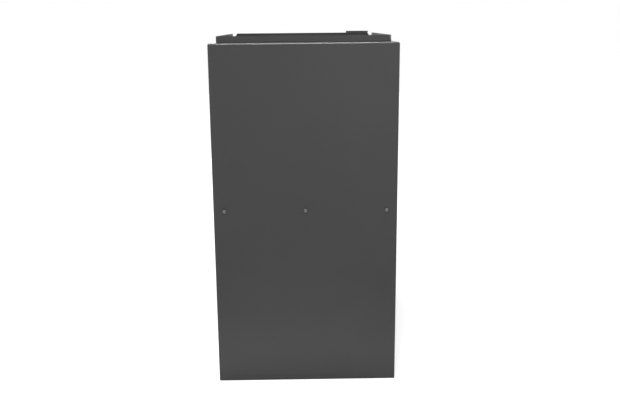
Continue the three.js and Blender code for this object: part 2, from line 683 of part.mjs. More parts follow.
/** Sheet-metal box at the rear that turns the flue gas down and forward again. */
function rearCouplingBox() {
  const half = couplingBox.width / 2;
  const wall = couplingBox.wall;
  const [front, back] = [boxFront, -couplingBox.backClear];
  const outer = block([-half, half], [front, back], [boxBottom, boxTop]);
  const hollow = block([-half + wall, half - wall], [front + wall, back - wall],
    [boxBottom + wall, boxTop - wall]);
  const through = [front - wall, front + 2 * wall];
  const tubeHoles = burnerX.map((x) => rod('y', exchanger.radius - exchanger.wall, through,
    [x, 0, lowestPass], 16));
  const flueHalf = finned.width / 2 - collector.depth;
  const flue = block([-flueHalf, flueHalf], through,
    [finsBottom + finned.endPlate, finsBottom + finned.height - finned.endPlate]);
  return cut(outer, hollow, flue, ...tubeHoles);
}

/** Finned exchanger: end plates, fins and two rows of straight tubes that run front to back. */
function finnedExchanger() {
  const half = finned.width / 2;
  const [front, back] = [panelBack + seatGap, boxFront - seatGap];
  const heights = [finsBottom, finsBottom + finned.height];
  const plate = (y, thick) => block([-half, half], [y, y + thick], heights);
  const step = (back - front) / (finned.fins + 1);
  const fins = [...Array(finned.fins).keys()].map((i) => plate(front + (i + 1) * step, finned.fin));
  const ends = [plate(front, finned.endPlate), plate(back - finned.endPlate, finned.endPlate)];
  const tubes = [];
  for (let row = 0; row < finned.rows; row += 1) {
    for (let column = 0; column < finned.columns; column += 1) {
      const stagger = (row - (finned.rows - 1) / 2) / 2;
      const x = (column + 0.5 + stagger - finned.columns / 2) * (finned.width / (finned.columns + 1));
      const z = finsBottom + ((row + 0.5) / finned.rows) * finned.height;
      tubes.push(rod('y', finned.tubeRadius, [front, back], [x, 0, z], finned.tubeSides));
    }
  }
  return joined(...ends, ...fins, ...tubes);
}

/** Moulded header with a drain stub below, a hose stub at its right and the inducer's inlet. */
function collectorHeader() {
  const { wall } = collector;
  const [left, right] = [collectorLeft, collectorRight];
  const [bottom, top] = [collectorBottom, collectorBottom + collector.height];
  const back = panelFront - seatGap;
  const outer = block([left, right], [headerFront, back], [bottom, top]);
  const hollow = block([left + wall, right - wall], [headerFront + wall, back + wall],
    [bottom + wall, top - wall]);
  const inlet = rod('y', inducer.inletRadius, [headerFront - wall, headerFront + 2 * wall],
    [inducer.centreX, 0, inducerZ], 20);
  const drain = rod('z', collector.drainRadius, [bottom - collector.drainLength, bottom + wall],
    [drainX, drainY, 0], 12);
  const drainBore = rod('z', collector.drainRadius - wall / 2,
    [bottom - 2 * collector.drainLength, bottom + 2 * wall], [drainX, drainY, 0], 12);
  const port = rod('x', collector.portRadius, [right - wall, right + collector.portLength],
    [0, pressurePortY, portZ], 10);
  const portBore = rod('x', collector.portRadius / 2, [right - 2 * wall,
    right + 2 * collector.portLength], [0, pressurePortY, portZ], 10);
  return cut(joined(outer, drain, port), hollow, inlet, drainBore, portBore);
}

for (const [i, x] of burnerX.entries()) {
  addPiece(heat, `exchanger_tube_${i + 1}`, exchangerTube(), finishes.aluminisedSteel, [x, 0, 0]);
}
addPiece(heat, 'rear_coupling_box', rearCouplingBox(), finishes.aluminisedSteel);
addPiece(heat, 'finned_exchanger', finnedExchanger(), finishes.aluminium);
addPiece(heat, 'collector_header', collectorHeader(), finishes.blackPlastic);

// ---------------------------------------------------------------------------------------------
// Burners and gas train
// ---------------------------------------------------------------------------------------------

const fire = section();

/** Inshot burner: a flared mouth, a throat and an open inlet, along +Y from its inlet end. */
function inshotBurner() {
  const { length, mouthRadius, throatRadius, inletRadius, wall, flareLength } = burner;
  const throat = length * burner.throatAt;
  const outside = [[inletRadius, 0], [inletRadius, flareLength / 2], [throatRadius, flareLength],
    [throatRadius, throat], [mouthRadius, length - wall], [mouthRadius, length]];
  const inside = outside.map(([radius, y]) => [radius - wall, y]).reverse();
  return ring('y', [...outside, ...inside], 0, [0, 0, 0], 14);
}

/** Folded shelf under the burners, with ears for the two rollout switches. */
function burnerBracket() {
  const [left, right] = [bracketLeft, bracketRight];
  const back = panelFront - seatGap;
  const front = back - bracket.depth;
  const foot = block([left, right], [back - sheet, back], [shelfTop - bracket.foot, shelfTop]);
  const shelf = block([left, right], [front, back], [shelfTop - sheet, shelfTop]);
  const lip = block([left, right], [front, front + sheet], [shelfTop - bracket.lipHeight, shelfTop]);
  const earBack = earFront + sheet;
  const ears = [[left, left + bracket.earWidth], [right - bracket.earWidth, right]].map((span) => (
    block(span, [earFront, earBack], [shelfTop - sheet, shelfTop + bracket.earRise])));
  const pipeUnder = burnerZ - gasPipe.radius - seatGap;
  const saddles = [left + bracket.saddleInset, right - bracket.saddleInset].map((x) => block(
    [x - bracket.saddleWidth / 2, x + bracket.saddleWidth / 2],
    [gasPipeY + sheet, gasPipeY + 2 * sheet], [shelfTop - sheet, pipeUnder]));
  return joined(foot, shelf, lip, ...ears, ...saddles);
}

/** Gas pipe across the burners' inlets, with a spud for each and a hex cap on its left end. */
function gasManifold() {
  const left = burner.middleX - gasPipe.leftReach;
  const right = valveLeft - seatGap;
  const centre = [0, gasPipeY, burnerZ];
  const inlet = panelFront - burner.panelGap - burner.length;
  const spuds = burnerX.map((x) => rod('y', gasPipe.spudRadius,
    [0, inlet - gasPipeY + gasPipe.spudReach], [x, gasPipeY, burnerZ], 8));
  const hex = gasPipe.capFlats / 2 / Math.cos(Math.PI / 6);
  return joined(
    rod('x', gasPipe.radius, [left, right], centre, 20),
    rod('x', hex, [left - gasPipe.capLength, left + gasPipe.capLength], centre, 6),
    ...spuds);
}

/** Gas valve: cast body, two coil covers on top, a regulator tower in front and an inlet below. */
function gasValveBody() {
  const { width, depth, height } = gasValve;
  const [left, right] = [valveLeft, valveLeft + width];
  const [bottom, top] = [burnerZ - height / 2, burnerZ + height / 2];
  const back = valveFront + depth;
  const corner = gasValve.portLength / 4;
  const body = plateXZ(roundedOutline([left, right], [bottom, top],
    [corner, corner, corner, corner], 2), [valveFront, back]);
  const coils = [-1, 1].map((side) => rod('z', gasValve.solenoidRadius / 2 + corner,
    [top - corner, top + gasValve.solenoidHeight], [valveX, valveMiddleY + side * depth / 4, 0], 16));
  const tower = rod('y', gasValve.towerRadius, [valveFront - gasValve.towerHeight / 4, back],
    [valveX, 0, burnerZ + gasValve.knobDrop], 16);
  const port = rod('z', gasValve.portRadius, [bottom - gasValve.portLength, top],
    [valveX, valvePortY, 0], 20);
  const bore = rod('z', gasValve.portBore, [bottom - 2 * gasValve.portLength,
    bottom + gasValve.portLength], [valveX, valvePortY, 0], 16);
  const spindleBore = rod('y', gasValve.spindleRadius + slidingFit,
    [valveFront - gasValve.towerHeight, valveFront + gasValve.spindleLength + seatGap],
    [valveX, 0, gasKnobZ], 12);
  return cut(joined(body, ...coils, tower, port), bore, spindleBore);
}

/** On/off knob of the gas valve, with its pointer up; it turns about its own Y axis. */
function gasValveKnob() {
  const face = -seatGap - gasValve.knobHeight;
  const pointer = block([-gasValve.pointer / 2, gasValve.pointer / 2],
    [face - gasValve.pointer, face + sheet], [-gasValve.knobRadius + sheet,
      gasValve.knobRadius - sheet]);
  return joined(
    rod('y', gasValve.knobRadius, [face, -seatGap], [0, 0, 0], 20),
    rod('y', gasValve.spindleRadius, [-2 * seatGap, gasValve.spindleLength], [0, 0, 0], 12),
    pointer);
}

/** Probe in front of a burner's mouth: a blade or rod, its ceramic and a plate on the panel. */
function flameProbe(side, bladeHeight) {
  const y = panelFront - igniter.fromPanel;
  const back = panelFront - seatGap;
  const x = side < 0 ? burnerX[0] : burnerX[burner.count - 1];
  const tip = x + side * burner.throatRadius;
  const bodyStart = x + side * igniter.reach;
  const bodyEnd = bodyStart + side * igniter.bodyLength;
  const sorted = (a, b) => [Math.min(a, b), Math.max(a, b)];
  const half = igniter.bladeThick / 2;
  const plateX = bodyEnd - side * igniter.plateWidth / 2;
  return joined(
    block(sorted(tip, bodyStart + side), [y - half, y + half],
      [burnerZ - bladeHeight / 2, burnerZ + bladeHeight / 2]),
    rod('x', igniter.bodyRadius, sorted(bodyStart, bodyEnd), [0, y, burnerZ], 12),
    block(sorted(plateX - side * igniter.plateWidth / 2, plateX + side * igniter.plateWidth / 2),
      [back - sheet, back],
      [burnerZ - igniter.plateHeight / 2, burnerZ + igniter.plateHeight / 2]),
    block(sorted(plateX - side * half, plateX + side * half), [y, back],
      [burnerZ - half, burnerZ + half]));
}

/** Disc switch on its ear, with a guide hole in front for the reset button. */
function rolloutSwitch() {
  const guide = rod('y', rollout.buttonRadius + slidingFit, [-rollout.height - sheet,
    -rollout.height + rollout.buttonHeight], [0, 0, 0], 12);
  return cut(turned('y', [[0, -rollout.height], [rollout.radius - sheet, -rollout.height],
    [rollout.radius, sheet - rollout.height], [rollout.radius, -seatGap], [0, -seatGap]],
  0, [0, 0, 0], 20), guide);
}

/** Reset button, standing out of the switch by its travel and a rim. */
function resetButton() {
  const foot = -rollout.height + rollout.buttonHeight - rollout.buttonTravel - slidingFit;
  return rod('y', rollout.buttonRadius, [foot - rollout.buttonHeight, foot], [0, 0, 0], 12);
}

/** Limit switch on the panel, with its probe reaching in between two exchanger tubes. */
function limitSwitch() {
  const back = panelFront - seatGap;
  const centre = [limit.centreX, 0, limitZ];
  const half = limit.plate / 2;
  return joined(
    block([limit.centreX - half, limit.centreX + half], [back - sheet, back],
      [limitZ - half / 2, limitZ + half / 2]),
    rod('y', limit.radius, [back - limit.height, back - sheet / 2], centre, 20),
    rod('y', limit.probeRadius, [back - sheet, back + limit.probeLength], centre, 12));
}

const burnerInlet = panelFront - burner.panelGap - burner.length;
for (const [i, x] of burnerX.entries()) {
  addPiece(fire, `burner_${i + 1}`, inshotBurner(), finishes.aluminisedSteel,
    [x, burnerInlet, burnerZ]);
}
addPiece(fire, 'burner_bracket', burnerBracket(), finishes.aluminisedSteel);
addPiece(fire, 'gas_manifold', gasManifold(), finishes.blackPipe);
addPiece(fire, 'gas_valve', gasValveBody(), finishes.castAluminium);
addPiece(fire, 'gas_valve_knob', gasValveKnob(), finishes.redPlastic, [valveX, valveFront, gasKnobZ]);
addPiece(fire, 'igniter', flameProbe(1, igniter.bladeHeight), finishes.ceramic);
addPiece(fire, 'flame_sensor', flameProbe(-1, igniter.bladeThick), finishes.ceramic);
const earMiddle = bracket.earWidth / 2;
for (const [x, side] of [[bracketLeft + earMiddle, 'left'], [bracketRight - earMiddle, 'right']]) {
  const place = [x, earFront, rolloutZ];
  addPiece(fire, `rollout_switch_${side}`, rolloutSwitch(), finishes.blackPlastic, place);
  addPiece(fire, `reset_button_${side}`, resetButton(), finishes.redPlastic, place);
}
addPiece(fire, 'limit_switch', limitSwitch(), finishes.castAluminium);

// ---------------------------------------------------------------------------------------------
// Inducer, vent and condensate
// ---------------------------------------------------------------------------------------------

const flue = section();

/** Inducer housing: a round chamber with a duct to the left that ends in a pipe socket. */
function inducerHousing() {
  const { centreX, radius, wall, cavityRadius, ductReach, ductHeight } = inducer;
  const centre = [centreX, 0, inducerZ];
  const end = centreX - ductReach;
  const ductBottom = inducerZ + radius - ductHeight;
  const duct = block([end, centreX], [inducerFront, inducerBack], [ductBottom, inducerZ + radius]);
  const bore = block([end - wall, centreX], [inducerFront + wall, inducerBack - wall],
    [ductBottom + wall, inducerZ + radius - wall]);
  const drum = rod('y', radius, [inducerFront, inducerBack], centre, 24);
  const chamber = rod('y', cavityRadius, [inducerFront + wall, inducerBack - wall], centre, 24);
  const flange = rod('y', inducer.boltFlange, [inducerBack - inducer.flangeThick, inducerBack],
    centre, 24);
  const inlet = rod('y', inducer.inletRadius, [inducerBack - 2 * wall, inducerBack + wall], centre, 20);
  const shaftHole = rod('y', inducer.shaftRadius + wall, [inducerFront - wall,
    inducerFront + 2 * wall], centre, 16);
  return cut(joined(drum, duct, flange), chamber, bore, inlet, shaftHole);
}

/** Inducer motor in front of the housing, with cooling slots and a bearing for the shaft. */
function inducerMotor() {
  const back = inducerFront - seatGap;
  const front = back - inducer.motorLength;
  const centre = [inducer.centreX, 0, inducerZ];
  const shell = rod('y', inducer.motorRadius, [front, back], centre, 24);
  const cap = rod('y', inducer.motorEndRadius, [front - inducer.motorEndLength, front + sheet],
    centre, 24);
  const bearing = rod('y', (inducer.shaftRadius + runningFit) / Math.cos(Math.PI / 16),
    [back - inducer.bearingDepth, back + sheet], centre, 16);
  return cut(joined(shell, cap), bearing);
}

/** Inducer wheel: a backplate with radial blades, its hub and the shaft into the motor. */
function inducerWheel() {
  const { wheelRadius, wheelDepth, plate, blades, bladeThick, hubRadius, shaftRadius } = inducer;
  const plateFront = inducerFront + inducer.wheelClear;
  const centre = [inducer.centreX, 0, inducerZ];
  const bladeSpan = [plateFront + plate / 2, plateFront + wheelDepth];
  const vanes = [...Array(blades).keys()].map((i) => {
    const geometry = new THREE.BoxGeometry(wheelRadius - hubRadius, bladeSpan[1] - bladeSpan[0],
      bladeThick);
    geometry.translate((wheelRadius + hubRadius) / 2 - sheet, (bladeSpan[0] + bladeSpan[1]) / 2, 0);
    geometry.rotateY((i / blades) * 2 * Math.PI);
    return toSolid(geometry.translate(centre[0], 0, centre[2]));
  });
  const shaftEnd = inducerFront - seatGap - inducer.bearingDepth + sheet;
  return joined(
    rod('y', wheelRadius, [plateFront, plateFront + plate], centre, 24),
    rod('y', hubRadius + 2 * sheet, [plateFront, bladeSpan[1]], centre, 16),
    rod('y', shaftRadius, [shaftEnd, plateFront + plate], centre, 16),
    ...vanes);
}

/** Flue pipe from the inducer's duct, round one bend and up through the top plate. */
function ventPipe() {
  const start = inducer.centreX - inducer.ductReach - seatGap;
  return pipe([
    [start, inducerMiddle, ductZ], [ventX, inducerMiddle, ductZ],
    [ventX, inducerMiddle, cabinet.height + vent.topStand],
  ], { radius: vent.radius, bore: vent.radius - vent.wall, bend: vent.bend, bendSteps: 5, sides: 16 });
}

/** Dark collar round the flue pipe on top of the cabinet, with its base flange and a band. */
function ventCollar() {
  const bore = vent.radius + seatGap;
  const foot = topPlateTop + seatGap;
  const top = cabinet.height + vent.collarTop;
  const bandLow = foot + vent.collarFlangeThick + vent.bandProud;
  const outline = [
    [bore, foot], [vent.collarFlange, foot], [vent.collarFlange, foot + vent.collarFlangeThick],
    [vent.collarRadius, foot + vent.collarFlangeThick], [vent.collarRadius, bandLow],
    [vent.collarRadius + vent.bandProud, bandLow],
    [vent.collarRadius + vent.bandProud, bandLow + vent.bandHeight],
    [vent.collarRadius, bandLow + vent.bandHeight], [vent.collarRadius, top], [bore, top],
  ];
  return ring('z', outline, 0, [ventX, inducerMiddle, 0], 24);
}

/** Combustion-air ring: a low flange on the top plate and a short pipe below it. */
function airInletRing() {
  const foot = topPlateTop + seatGap;
  const bore = airInlet.radius - airInlet.wall;
  const outline = [
    [bore, foot - airInlet.drop], [airInlet.radius, foot - airInlet.drop],
    [airInlet.radius, foot], [airInlet.flange, foot], [airInlet.flange, foot + airInlet.flangeThick],
    [airInlet.radius, foot + airInlet.flangeThick], [airInlet.radius, foot + airInlet.rise],
    [bore, foot + airInlet.rise],
  ];
  return ring('z', outline, 0, [airInletX, airInletY, 0], 20);
}

/** Pressure switch: a two-part round case on a foot against the panel, with a port below. */
function pressureSwitch() {
  const centre = [pressureX, 0, pressureZ];
  const back = panelFront - seatGap;
  const caseBack = back - pressure.footHeight;
  const foot = block([pressureX - pressure.radius / 2, pressureX + pressure.radius / 2],
    [caseBack - sheet, back], [pressureZ - pressure.radius / 2,
      pressureZ + pressure.radius / 2]);
  const body = rod('y', pressure.radius, [caseBack - pressure.height, caseBack], centre, 24);
  const rim = rod('y', pressure.rimRadius, [caseBack - pressure.portY - pressure.rimHeight / 2,
    caseBack - pressure.portY + pressure.rimHeight / 2], centre, 24);
  const low = pressureZ - pressure.rimRadius - pressure.portLength;
  const port = rod('z', pressure.portRadius, [low, pressureZ], [pressureX,
    pressurePortY, 0], 10);
  return joined(foot, body, rim, port);
}

/** Hose from the pressure switch down to the collector header's stub. */
function pressureHose() {
  const start = pressureZ - pressure.rimRadius - pressure.portLength - seatGap;
  const end = collectorRight + collector.portLength + seatGap;
  return pipe([
    [pressureX, pressurePortY, start],
    [pressureX, pressurePortY, portZ],
    [end, pressurePortY, portZ],
  ], { radius: pressure.hoseRadius, bend: pressure.hoseBend, sides: 8 });
}

/** Condensate trap on the left wall, with a neck for the drain hose and an outlet in front. */
function condensateTrap() {
  const left = -innerHalf + seatGap;
  const right = left + trap.width;
  const front = frontEdge + trap.fromFront;
  const corner = trap.wall;
  const body = plateXZ(roundedOutline([left, right], [trapBottom, trapTop],
    [corner, corner, corner, corner], 2), [front, front + trap.depth]);
  const neck = rod('z', trap.neckRadius, [trapTop - corner, trapTop + trap.neckLength],
    [trapX, trapY, 0], 16);
  const bore = rod('z', trap.neckRadius - trap.wall, [trapTop - trap.neckLength,
    trapTop + 2 * trap.neckLength], [trapX, trapY, 0], 12);
  const outlet = rod('y', trap.outletRadius, [front - trap.outletLength, front + corner],
    [trapX, 0, trapBottom + trap.neckRadius + 2 * corner], 12);
  return cut(joined(body, neck, outlet), bore);
}

/** Drain hose from the collector header, down through the deck and into the trap's neck. */
function drainHose() {
  const start = collectorBottom - collector.drainLength - seatGap;
  const end = trapTop + trap.neckLength + seatGap;
  return pipe([
    [drainX, drainY, start], [drainX, drainY, start - trap.hoseDrop],
    [trapX, trapY, end + trap.hoseDrop], [trapX, trapY, end],
  ], { radius: trap.hoseRadius, bend: trap.hoseBend, sides: 10 });
}

addPiece(flue, 'inducer_housing', inducerHousing(), finishes.blackPlastic);
addPiece(flue, 'inducer_motor', inducerMotor(), finishes.motorPaint);
addPiece(flue, 'inducer_wheel', inducerWheel(), finishes.aluminium);
addPiece(flue, 'vent_pipe', ventPipe(), finishes.whitePlastic);
addPiece(flue, 'vent_collar', ventCollar(), finishes.blackRubber);
addPiece(flue, 'air_inlet_ring', airInletRing(), finishes.blackPlastic);
addPiece(flue, 'pressure_switch', pressureSwitch(), finishes.whitePlastic);
addPiece(flue, 'pressure_hose', pressureHose(), finishes.silicone);
addPiece(flue, 'condensate_trap', condensateTrap(), finishes.blackPlastic);
addPiece(flue, 'drain_hose', drainHose(), finishes.blackRubber);

// ---------------------------------------------------------------------------------------------
// Blower
// ---------------------------------------------------------------------------------------------

const air = section();

/** Scroll outline in (y, z): the spiral from the cutoff round to the rear, and the outlet neck. */
function scrollOutline(inset, top) {
  const spiral = [...Array(blower.arcSteps + 1).keys()].map((step) => {
    const share = step / blower.arcSteps;
    const angle = cutoffAngle + share * (2 * Math.PI - cutoffAngle);
    const radius = blower.startRadius + share * blower.growth - inset;
    return [blowerY + radius * Math.cos(angle), blower.centreZ + radius * Math.sin(angle)];
  });
  return [...spiral, [blowerY + scrollEnd - inset, top], [spiral[0][0] + inset, top],
    [spiral[0][0] + inset, spiral[0][1]]];
}

/** Room inside the outlet neck, as the [x], [y] spans of a box, less a margin. */
function blowerOutlet(margin) {
  const half = blower.width / 2 - blower.wall - margin;
  const front = blowerY + blower.startRadius * Math.cos(cutoffAngle) + blower.wall + margin;
  return [[-half, half], [front, blowerY + scrollEnd - blower.wall - margin]];
}

/** Scroll housing, open at its top, with a rolled ring round the inlet in each side. */
function blowerHousing() {
  const half = blower.width / 2;
  const top = deckUnder - seatGap;
  const outer = plateYZ(scrollOutline(0, top), [-half, half]);
  const hollow = plateYZ(scrollOutline(blower.wall, top + 2 * blower.wall),
    [-half + blower.wall, half - blower.wall]);
  const centre = [0, blowerY, blower.centreZ];
  const lip = (from, to) => rod('x', blower.inletRadius + blower.lipWall, [from, to], centre, 24);
  const inlets = rod('x', blower.inletRadius, [-2 * half, 2 * half], centre, 24);
  const shell = joined(cut(outer, hollow), lip(half - blower.wall, half + blower.inletLip),
    lip(-half - blower.inletLip, blower.wall - half));
  return cut(shell, inlets);
}

/** Forward-curved wheel: two rows of blades between end rings, on a web with a hub. */
function blowerWheel() {
  const { radius, bladeDepth, width, blades, bladeThick, ring: rim, web, hubRadius } = wheel;
  const inner = radius - bladeDepth;
  const origin = [0, 0, 0];
  const half = width / 2;
  const endRing = (from, to) => cut(rod('x', radius, [from, to], origin, 32),
    rod('x', inner, [from - rim, to + rim], origin, 32));
  const sweep = THREE.MathUtils.degToRad(wheel.bladeSweep);
  const blade = (angle) => {
    const span = bladeDepth + bladeThick;
    const geometry = new THREE.BoxGeometry(width - rim, bladeThick, span);
    geometry.rotateX(sweep).translate(0, 0, (radius + inner) / 2).rotateX(angle);
    return toSolid(geometry);
  };
  const row = [...Array(blades).keys()].map((i) => blade((i / blades) * 2 * Math.PI));
  const hub = rod('x', hubRadius, [-wheel.hubLength / 2, wheel.hubLength / 2], origin, 20);
  const bore = rod('x', wheel.shaftRadius + runningFit, [-half, half], origin, 20);
  const disc = rod('x', radius - bladeDepth / 2, [-web / 2, web / 2], origin, 32);
  const whole = joined(disc, hub, endRing(-half, rim - half), endRing(half - rim, half), ...row)
    .intersect(rod('x', radius, [-half, half], origin, 32));
  return cut(whole, bore);
}

/** Shaft from the wheel's hub into the motor. */
function blowerShaft() {
  return rod('x', wheel.shaftRadius, [-wheel.shaftLeft, motorLeft + wheel.shaftInMotor],
    [0, 0, 0], 20);
}

/** Blower motor: a round shell with stepped ends and its control pod at the right. */
function blowerMotor() {
  const centre = [0, blowerY, blower.centreZ];
  const { radius, endRadius, endStep, podRadius, podLength } = motor;
  const shell = turned('x', [[0, 0], [endRadius, 0], [radius, endStep],
    [radius, motor.length - endStep], [endRadius, motor.length], [podRadius, motor.length],
    [podRadius, motor.length + podLength], [0, motor.length + podLength]], motorLeft, centre, 24);
  const bearing = rod('x', (wheel.shaftRadius + runningFit) / Math.cos(Math.PI / 20),
    [motorLeft - sheet, motorLeft + wheel.shaftInMotor + sheet], centre, 20);
  return cut(shell, bearing);
}

/** Motor mount: a band round the motor and three arms out to the housing's right side. */
function motorMount() {
  const centre = [0, blowerY, blower.centreZ];
  const bandRight = motorRight - mount.bandFromEnd;
  const span = [bandRight - mount.bandWidth, bandRight];
  const inner = motor.radius + seatGap;
  const band = rod('x', inner + mount.bandHeight, span, centre, 24);
  const hollow = rod('x', inner / Math.cos(Math.PI / 24), [span[0] - sheet, span[1] + sheet],
    centre, 24);
  const arms = [...Array(mount.arms).keys()].map((i) => {
    const reach = mount.lugRadius - inner;
    const arm = new THREE.BoxGeometry(mount.armThick, mount.armWidth, reach);
    arm.translate(lugX + mount.armThick / 2, 0, inner + reach / 2 + sheet);
    const angle = ((i + 0.5) / mount.arms) * 2 * Math.PI;
    return toSolid(arm.rotateX(angle).translate(0, blowerY, blower.centreZ));
  });
  return cut(joined(band, ...arms), hollow);
}

const wheelPlace = [0, blowerY, blower.centreZ];
addPiece(air, 'blower_housing', blowerHousing(), finishes.zincSteel);
addPiece(air, 'blower_wheel', blowerWheel(), finishes.zincSteel, wheelPlace);
addPiece(air, 'blower_shaft', blowerShaft(), finishes.zincSteel, wheelPlace);
addPiece(air, 'blower_motor', blowerMotor(), finishes.motorPaint);
addPiece(air, 'motor_mount', motorMount(), finishes.zincSteel);

// ---------------------------------------------------------------------------------------------
// Controls, behind the lower door
// ---------------------------------------------------------------------------------------------

const controls = section();

/** Folded plate that hangs from the rail and carries the circuit board and the transformer. */
function controlPlate() {
  const span = [panelBoard.left, panelBoard.right];
  const back = boardPlateFront + sheet;
  const upright = block(span, [boardPlateFront, back],
    [boardPlateTop - panelBoard.drop, boardPlateTop]);
  const tongue = block(span, [railFace + sheet, back], [boardPlateTop - sheet, boardPlateTop]);
  return joined(upright, tongue);
}

/** Circuit board on four standoffs, with relays, a fuse, capacitors and plug headers. */
function controlBoard() {
  const { boardLeft, boardWidth, boardHeight, boardThick, standoff, standoffRadius } = panelBoard;
  const top = boardPlateTop - panelBoard.boardDrop;
  const bottom = top - boardHeight;
  const back = boardPlateFront - seatGap;
  const boardBack = back - standoff;
  const face = boardBack - boardThick;
  const right = boardLeft + boardWidth;
  const slab = block([boardLeft, right], [face, boardBack], [bottom, top]);
  const cell = boardWidth / panelBoard.cells;
  const posts = [[boardLeft + cell / 2, bottom + cell / 2], [right - cell / 2, bottom + cell / 2],
    [boardLeft + cell / 2, top - cell / 2], [right - cell / 2, top - cell / 2]];
  const stands = posts.map(([x, z]) => rod('y', standoffRadius, [boardBack - boardThick / 2, back],
    [x, 0, z], 8));
  const blocks = boardBlocks.map(({ column, row, wide, high, tall }) => block(
    [boardLeft + column * cell, boardLeft + (column + wide) * cell],
    [face - tall, face + boardThick / 2], [bottom + row * cell, bottom + (row + high) * cell]));
  const cans = boardCans.map(({ column, row, radius, tall }) => rod('y', radius * cell,
    [face - tall, face + boardThick / 2], [boardLeft + column * cell, 0, bottom + row * cell], 12));
  return joined(slab, ...stands, ...blocks, ...cans);
}

/** Transformer: a laminated core with a coil through it, on two feet. */
function powerTransformer() {
  const { width, height, depth, core, coilInset } = transformer;
  const left = panelBoard.boardLeft + panelBoard.boardWidth + transformer.gap;
  const bottom = boardPlateTop - panelBoard.boardDrop - height;
  const back = boardPlateFront - seatGap;
  const coreSpan = [back - (depth + core) / 2, back - (depth - core) / 2];
  const laminations = block([left, left + width], coreSpan, [bottom, bottom + height]);
  const coil = block([left + coilInset, left + width - coilInset], [back - depth, back - sheet],
    [bottom + coilInset, bottom + height - coilInset]);
  const feet = [[left, left + coilInset], [left + width - coilInset, left + width]].map((span) => (
    block(span, [coreSpan[1] - sheet, back], [bottom, bottom + coilInset - 2 * sheet])));
  return joined(laminations, coil, ...feet);
}

/** Door switch behind the rail, with a nose through the rail that guides the plunger. */
function doorSwitch() {
  const { centreX, bodyWidth, bodyHeight, bodyDepth, plungerRadius } = interlock;
  const front = railFace + sheet + seatGap;
  const body = block([centreX - bodyWidth / 2, centreX + bodyWidth / 2], [front, front + bodyDepth],
    [interlockZ - bodyHeight / 2, interlockZ + bodyHeight / 2]);
  const guide = rod('y', plungerRadius + slidingFit,
    [front - sheet, frontEdge + interlock.plungerLength + interlock.travel + sheet],
    [centreX, 0, interlockZ], 16);
  return cut(body, guide);
}

/** Plunger of the door switch, its tip just behind the lower door's lip. */
function doorPlunger() {
  const tip = frontEdge;
  const shaftEnd = tip + interlock.plungerLength;
  const round = interlock.plungerRadius / 3;
  return turned('y', [[0, tip], [interlock.plungerRadius - round, tip],
    [interlock.plungerRadius, tip + round], [interlock.plungerRadius, shaftEnd], [0, shaftEnd]],
  0, [interlock.centreX, 0, interlockZ], 16);
}

/** Junction box on the right wall, open in front, with a wire entry in its floor. */
function junctionBox() {
  const right = innerHalf - seatGap;
  const left = right - junction.width;
  const front = frontEdge + junction.fromFront;
  const back = front + junction.depth;
  const wall = junction.wall;
  const [bottom, top] = [junctionBottom, junctionTop];
  const outer = block([left, right], [front, back], [bottom, top]);
  const hollow = block([left + wall, right - wall], [front - wall, back - wall],
    [bottom + wall, top - wall]);
  const entry = rod('z', junction.entryRadius, [bottom - wall, bottom + 2 * wall],
    [(left + right) / 2, (front + back) / 2, 0], 16);
  return cut(outer, hollow, entry);
}

/** Cover of the junction box, with a lip turned down over its left side. */
function junctionCover() {
  const right = innerHalf - seatGap;
  const left = right - junction.width - seatGap;
  const front = frontEdge + junction.fromFront - seatGap;
  const heights = [junctionBottom, junctionTop];
  const face = block([left - junction.cover, right], [front - junction.cover, front], heights);
  const lip = block([left - junction.cover, left], [front - junction.cover,
    front + 2 * junction.coverLip], heights);
  return joined(face, lip);
}

/** Wire harness from the circuit board, across and up through the deck to the gas valve. */
function wireHarness() {
  const boardRight = panelBoard.boardLeft + panelBoard.boardWidth;
  const boardY = boardPlateFront - seatGap - panelBoard.standoff - panelBoard.boardThick / 2;
  const valveBottom = burnerZ - gasValve.height / 2;
  return pipe([
    [boardRight + seatGap, boardY, harnessRunZ],
    [harnessX, harnessY, harnessRunZ],
    [harnessX, harnessY, valveBottom - seatGap],
  ], { radius: harness.radius, bend: harness.bend, sides: 8 });
}

addPiece(controls, 'control_plate', controlPlate(), finishes.zincSteel);
addPiece(controls, 'control_board', controlBoard(), finishes.board);
addPiece(controls, 'transformer', powerTransformer(), finishes.castAluminium);
addPiece(controls, 'door_switch', doorSwitch(), finishes.blackPlastic);
addPiece(controls, 'door_switch_plunger', doorPlunger(), finishes.whitePlastic);
addPiece(controls, 'junction_box', junctionBox(), finishes.zincSteel);
addPiece(controls, 'junction_cover', junctionCover(), finishes.zincSteel);
addPiece(controls, 'wire_harness', wireHarness(), finishes.blackRubber);

// ---------------------------------------------------------------------------------------------
// Doors
// ---------------------------------------------------------------------------------------------

const doors = section();

/** A door: a pan with folded edges, an inward lip all round and a finger pull. */
function doorPan([bottom, top], pullZ) {
  const round = door.cornerRadius;
  const outer = plateXZ(roundedOutline([-halfWidth, halfWidth], [bottom, top],
    [round, round, round, round]), [doorFront, doorBack]);
  const hollow = block([sheet - halfWidth, halfWidth - sheet], [doorInner, doorBack - sheet],
    [bottom + sheet, top - sheet]);
  const mouth = block([door.lip - halfWidth, halfWidth - door.lip], [doorBack - 2 * sheet,
    doorBack + sheet], [bottom + door.lip, top - door.lip]);
  const pull = (grow, [front, back]) => block(
    [-door.pullWidth / 2 - grow, door.pullWidth / 2 + grow], [front, back],
    [pullZ - door.pullHeight / 2 - grow, pullZ + door.pullHeight / 2 + grow]);
  const pullWall = pull(sheet, [doorFront + sheet / 2, doorFront + door.pullDepth + sheet]);
  const pullRoom = pull(0, [doorFront - sheet, doorFront + door.pullDepth]);
  return cut(joined(cut(outer, hollow, mouth), pullWall), pullRoom);
}

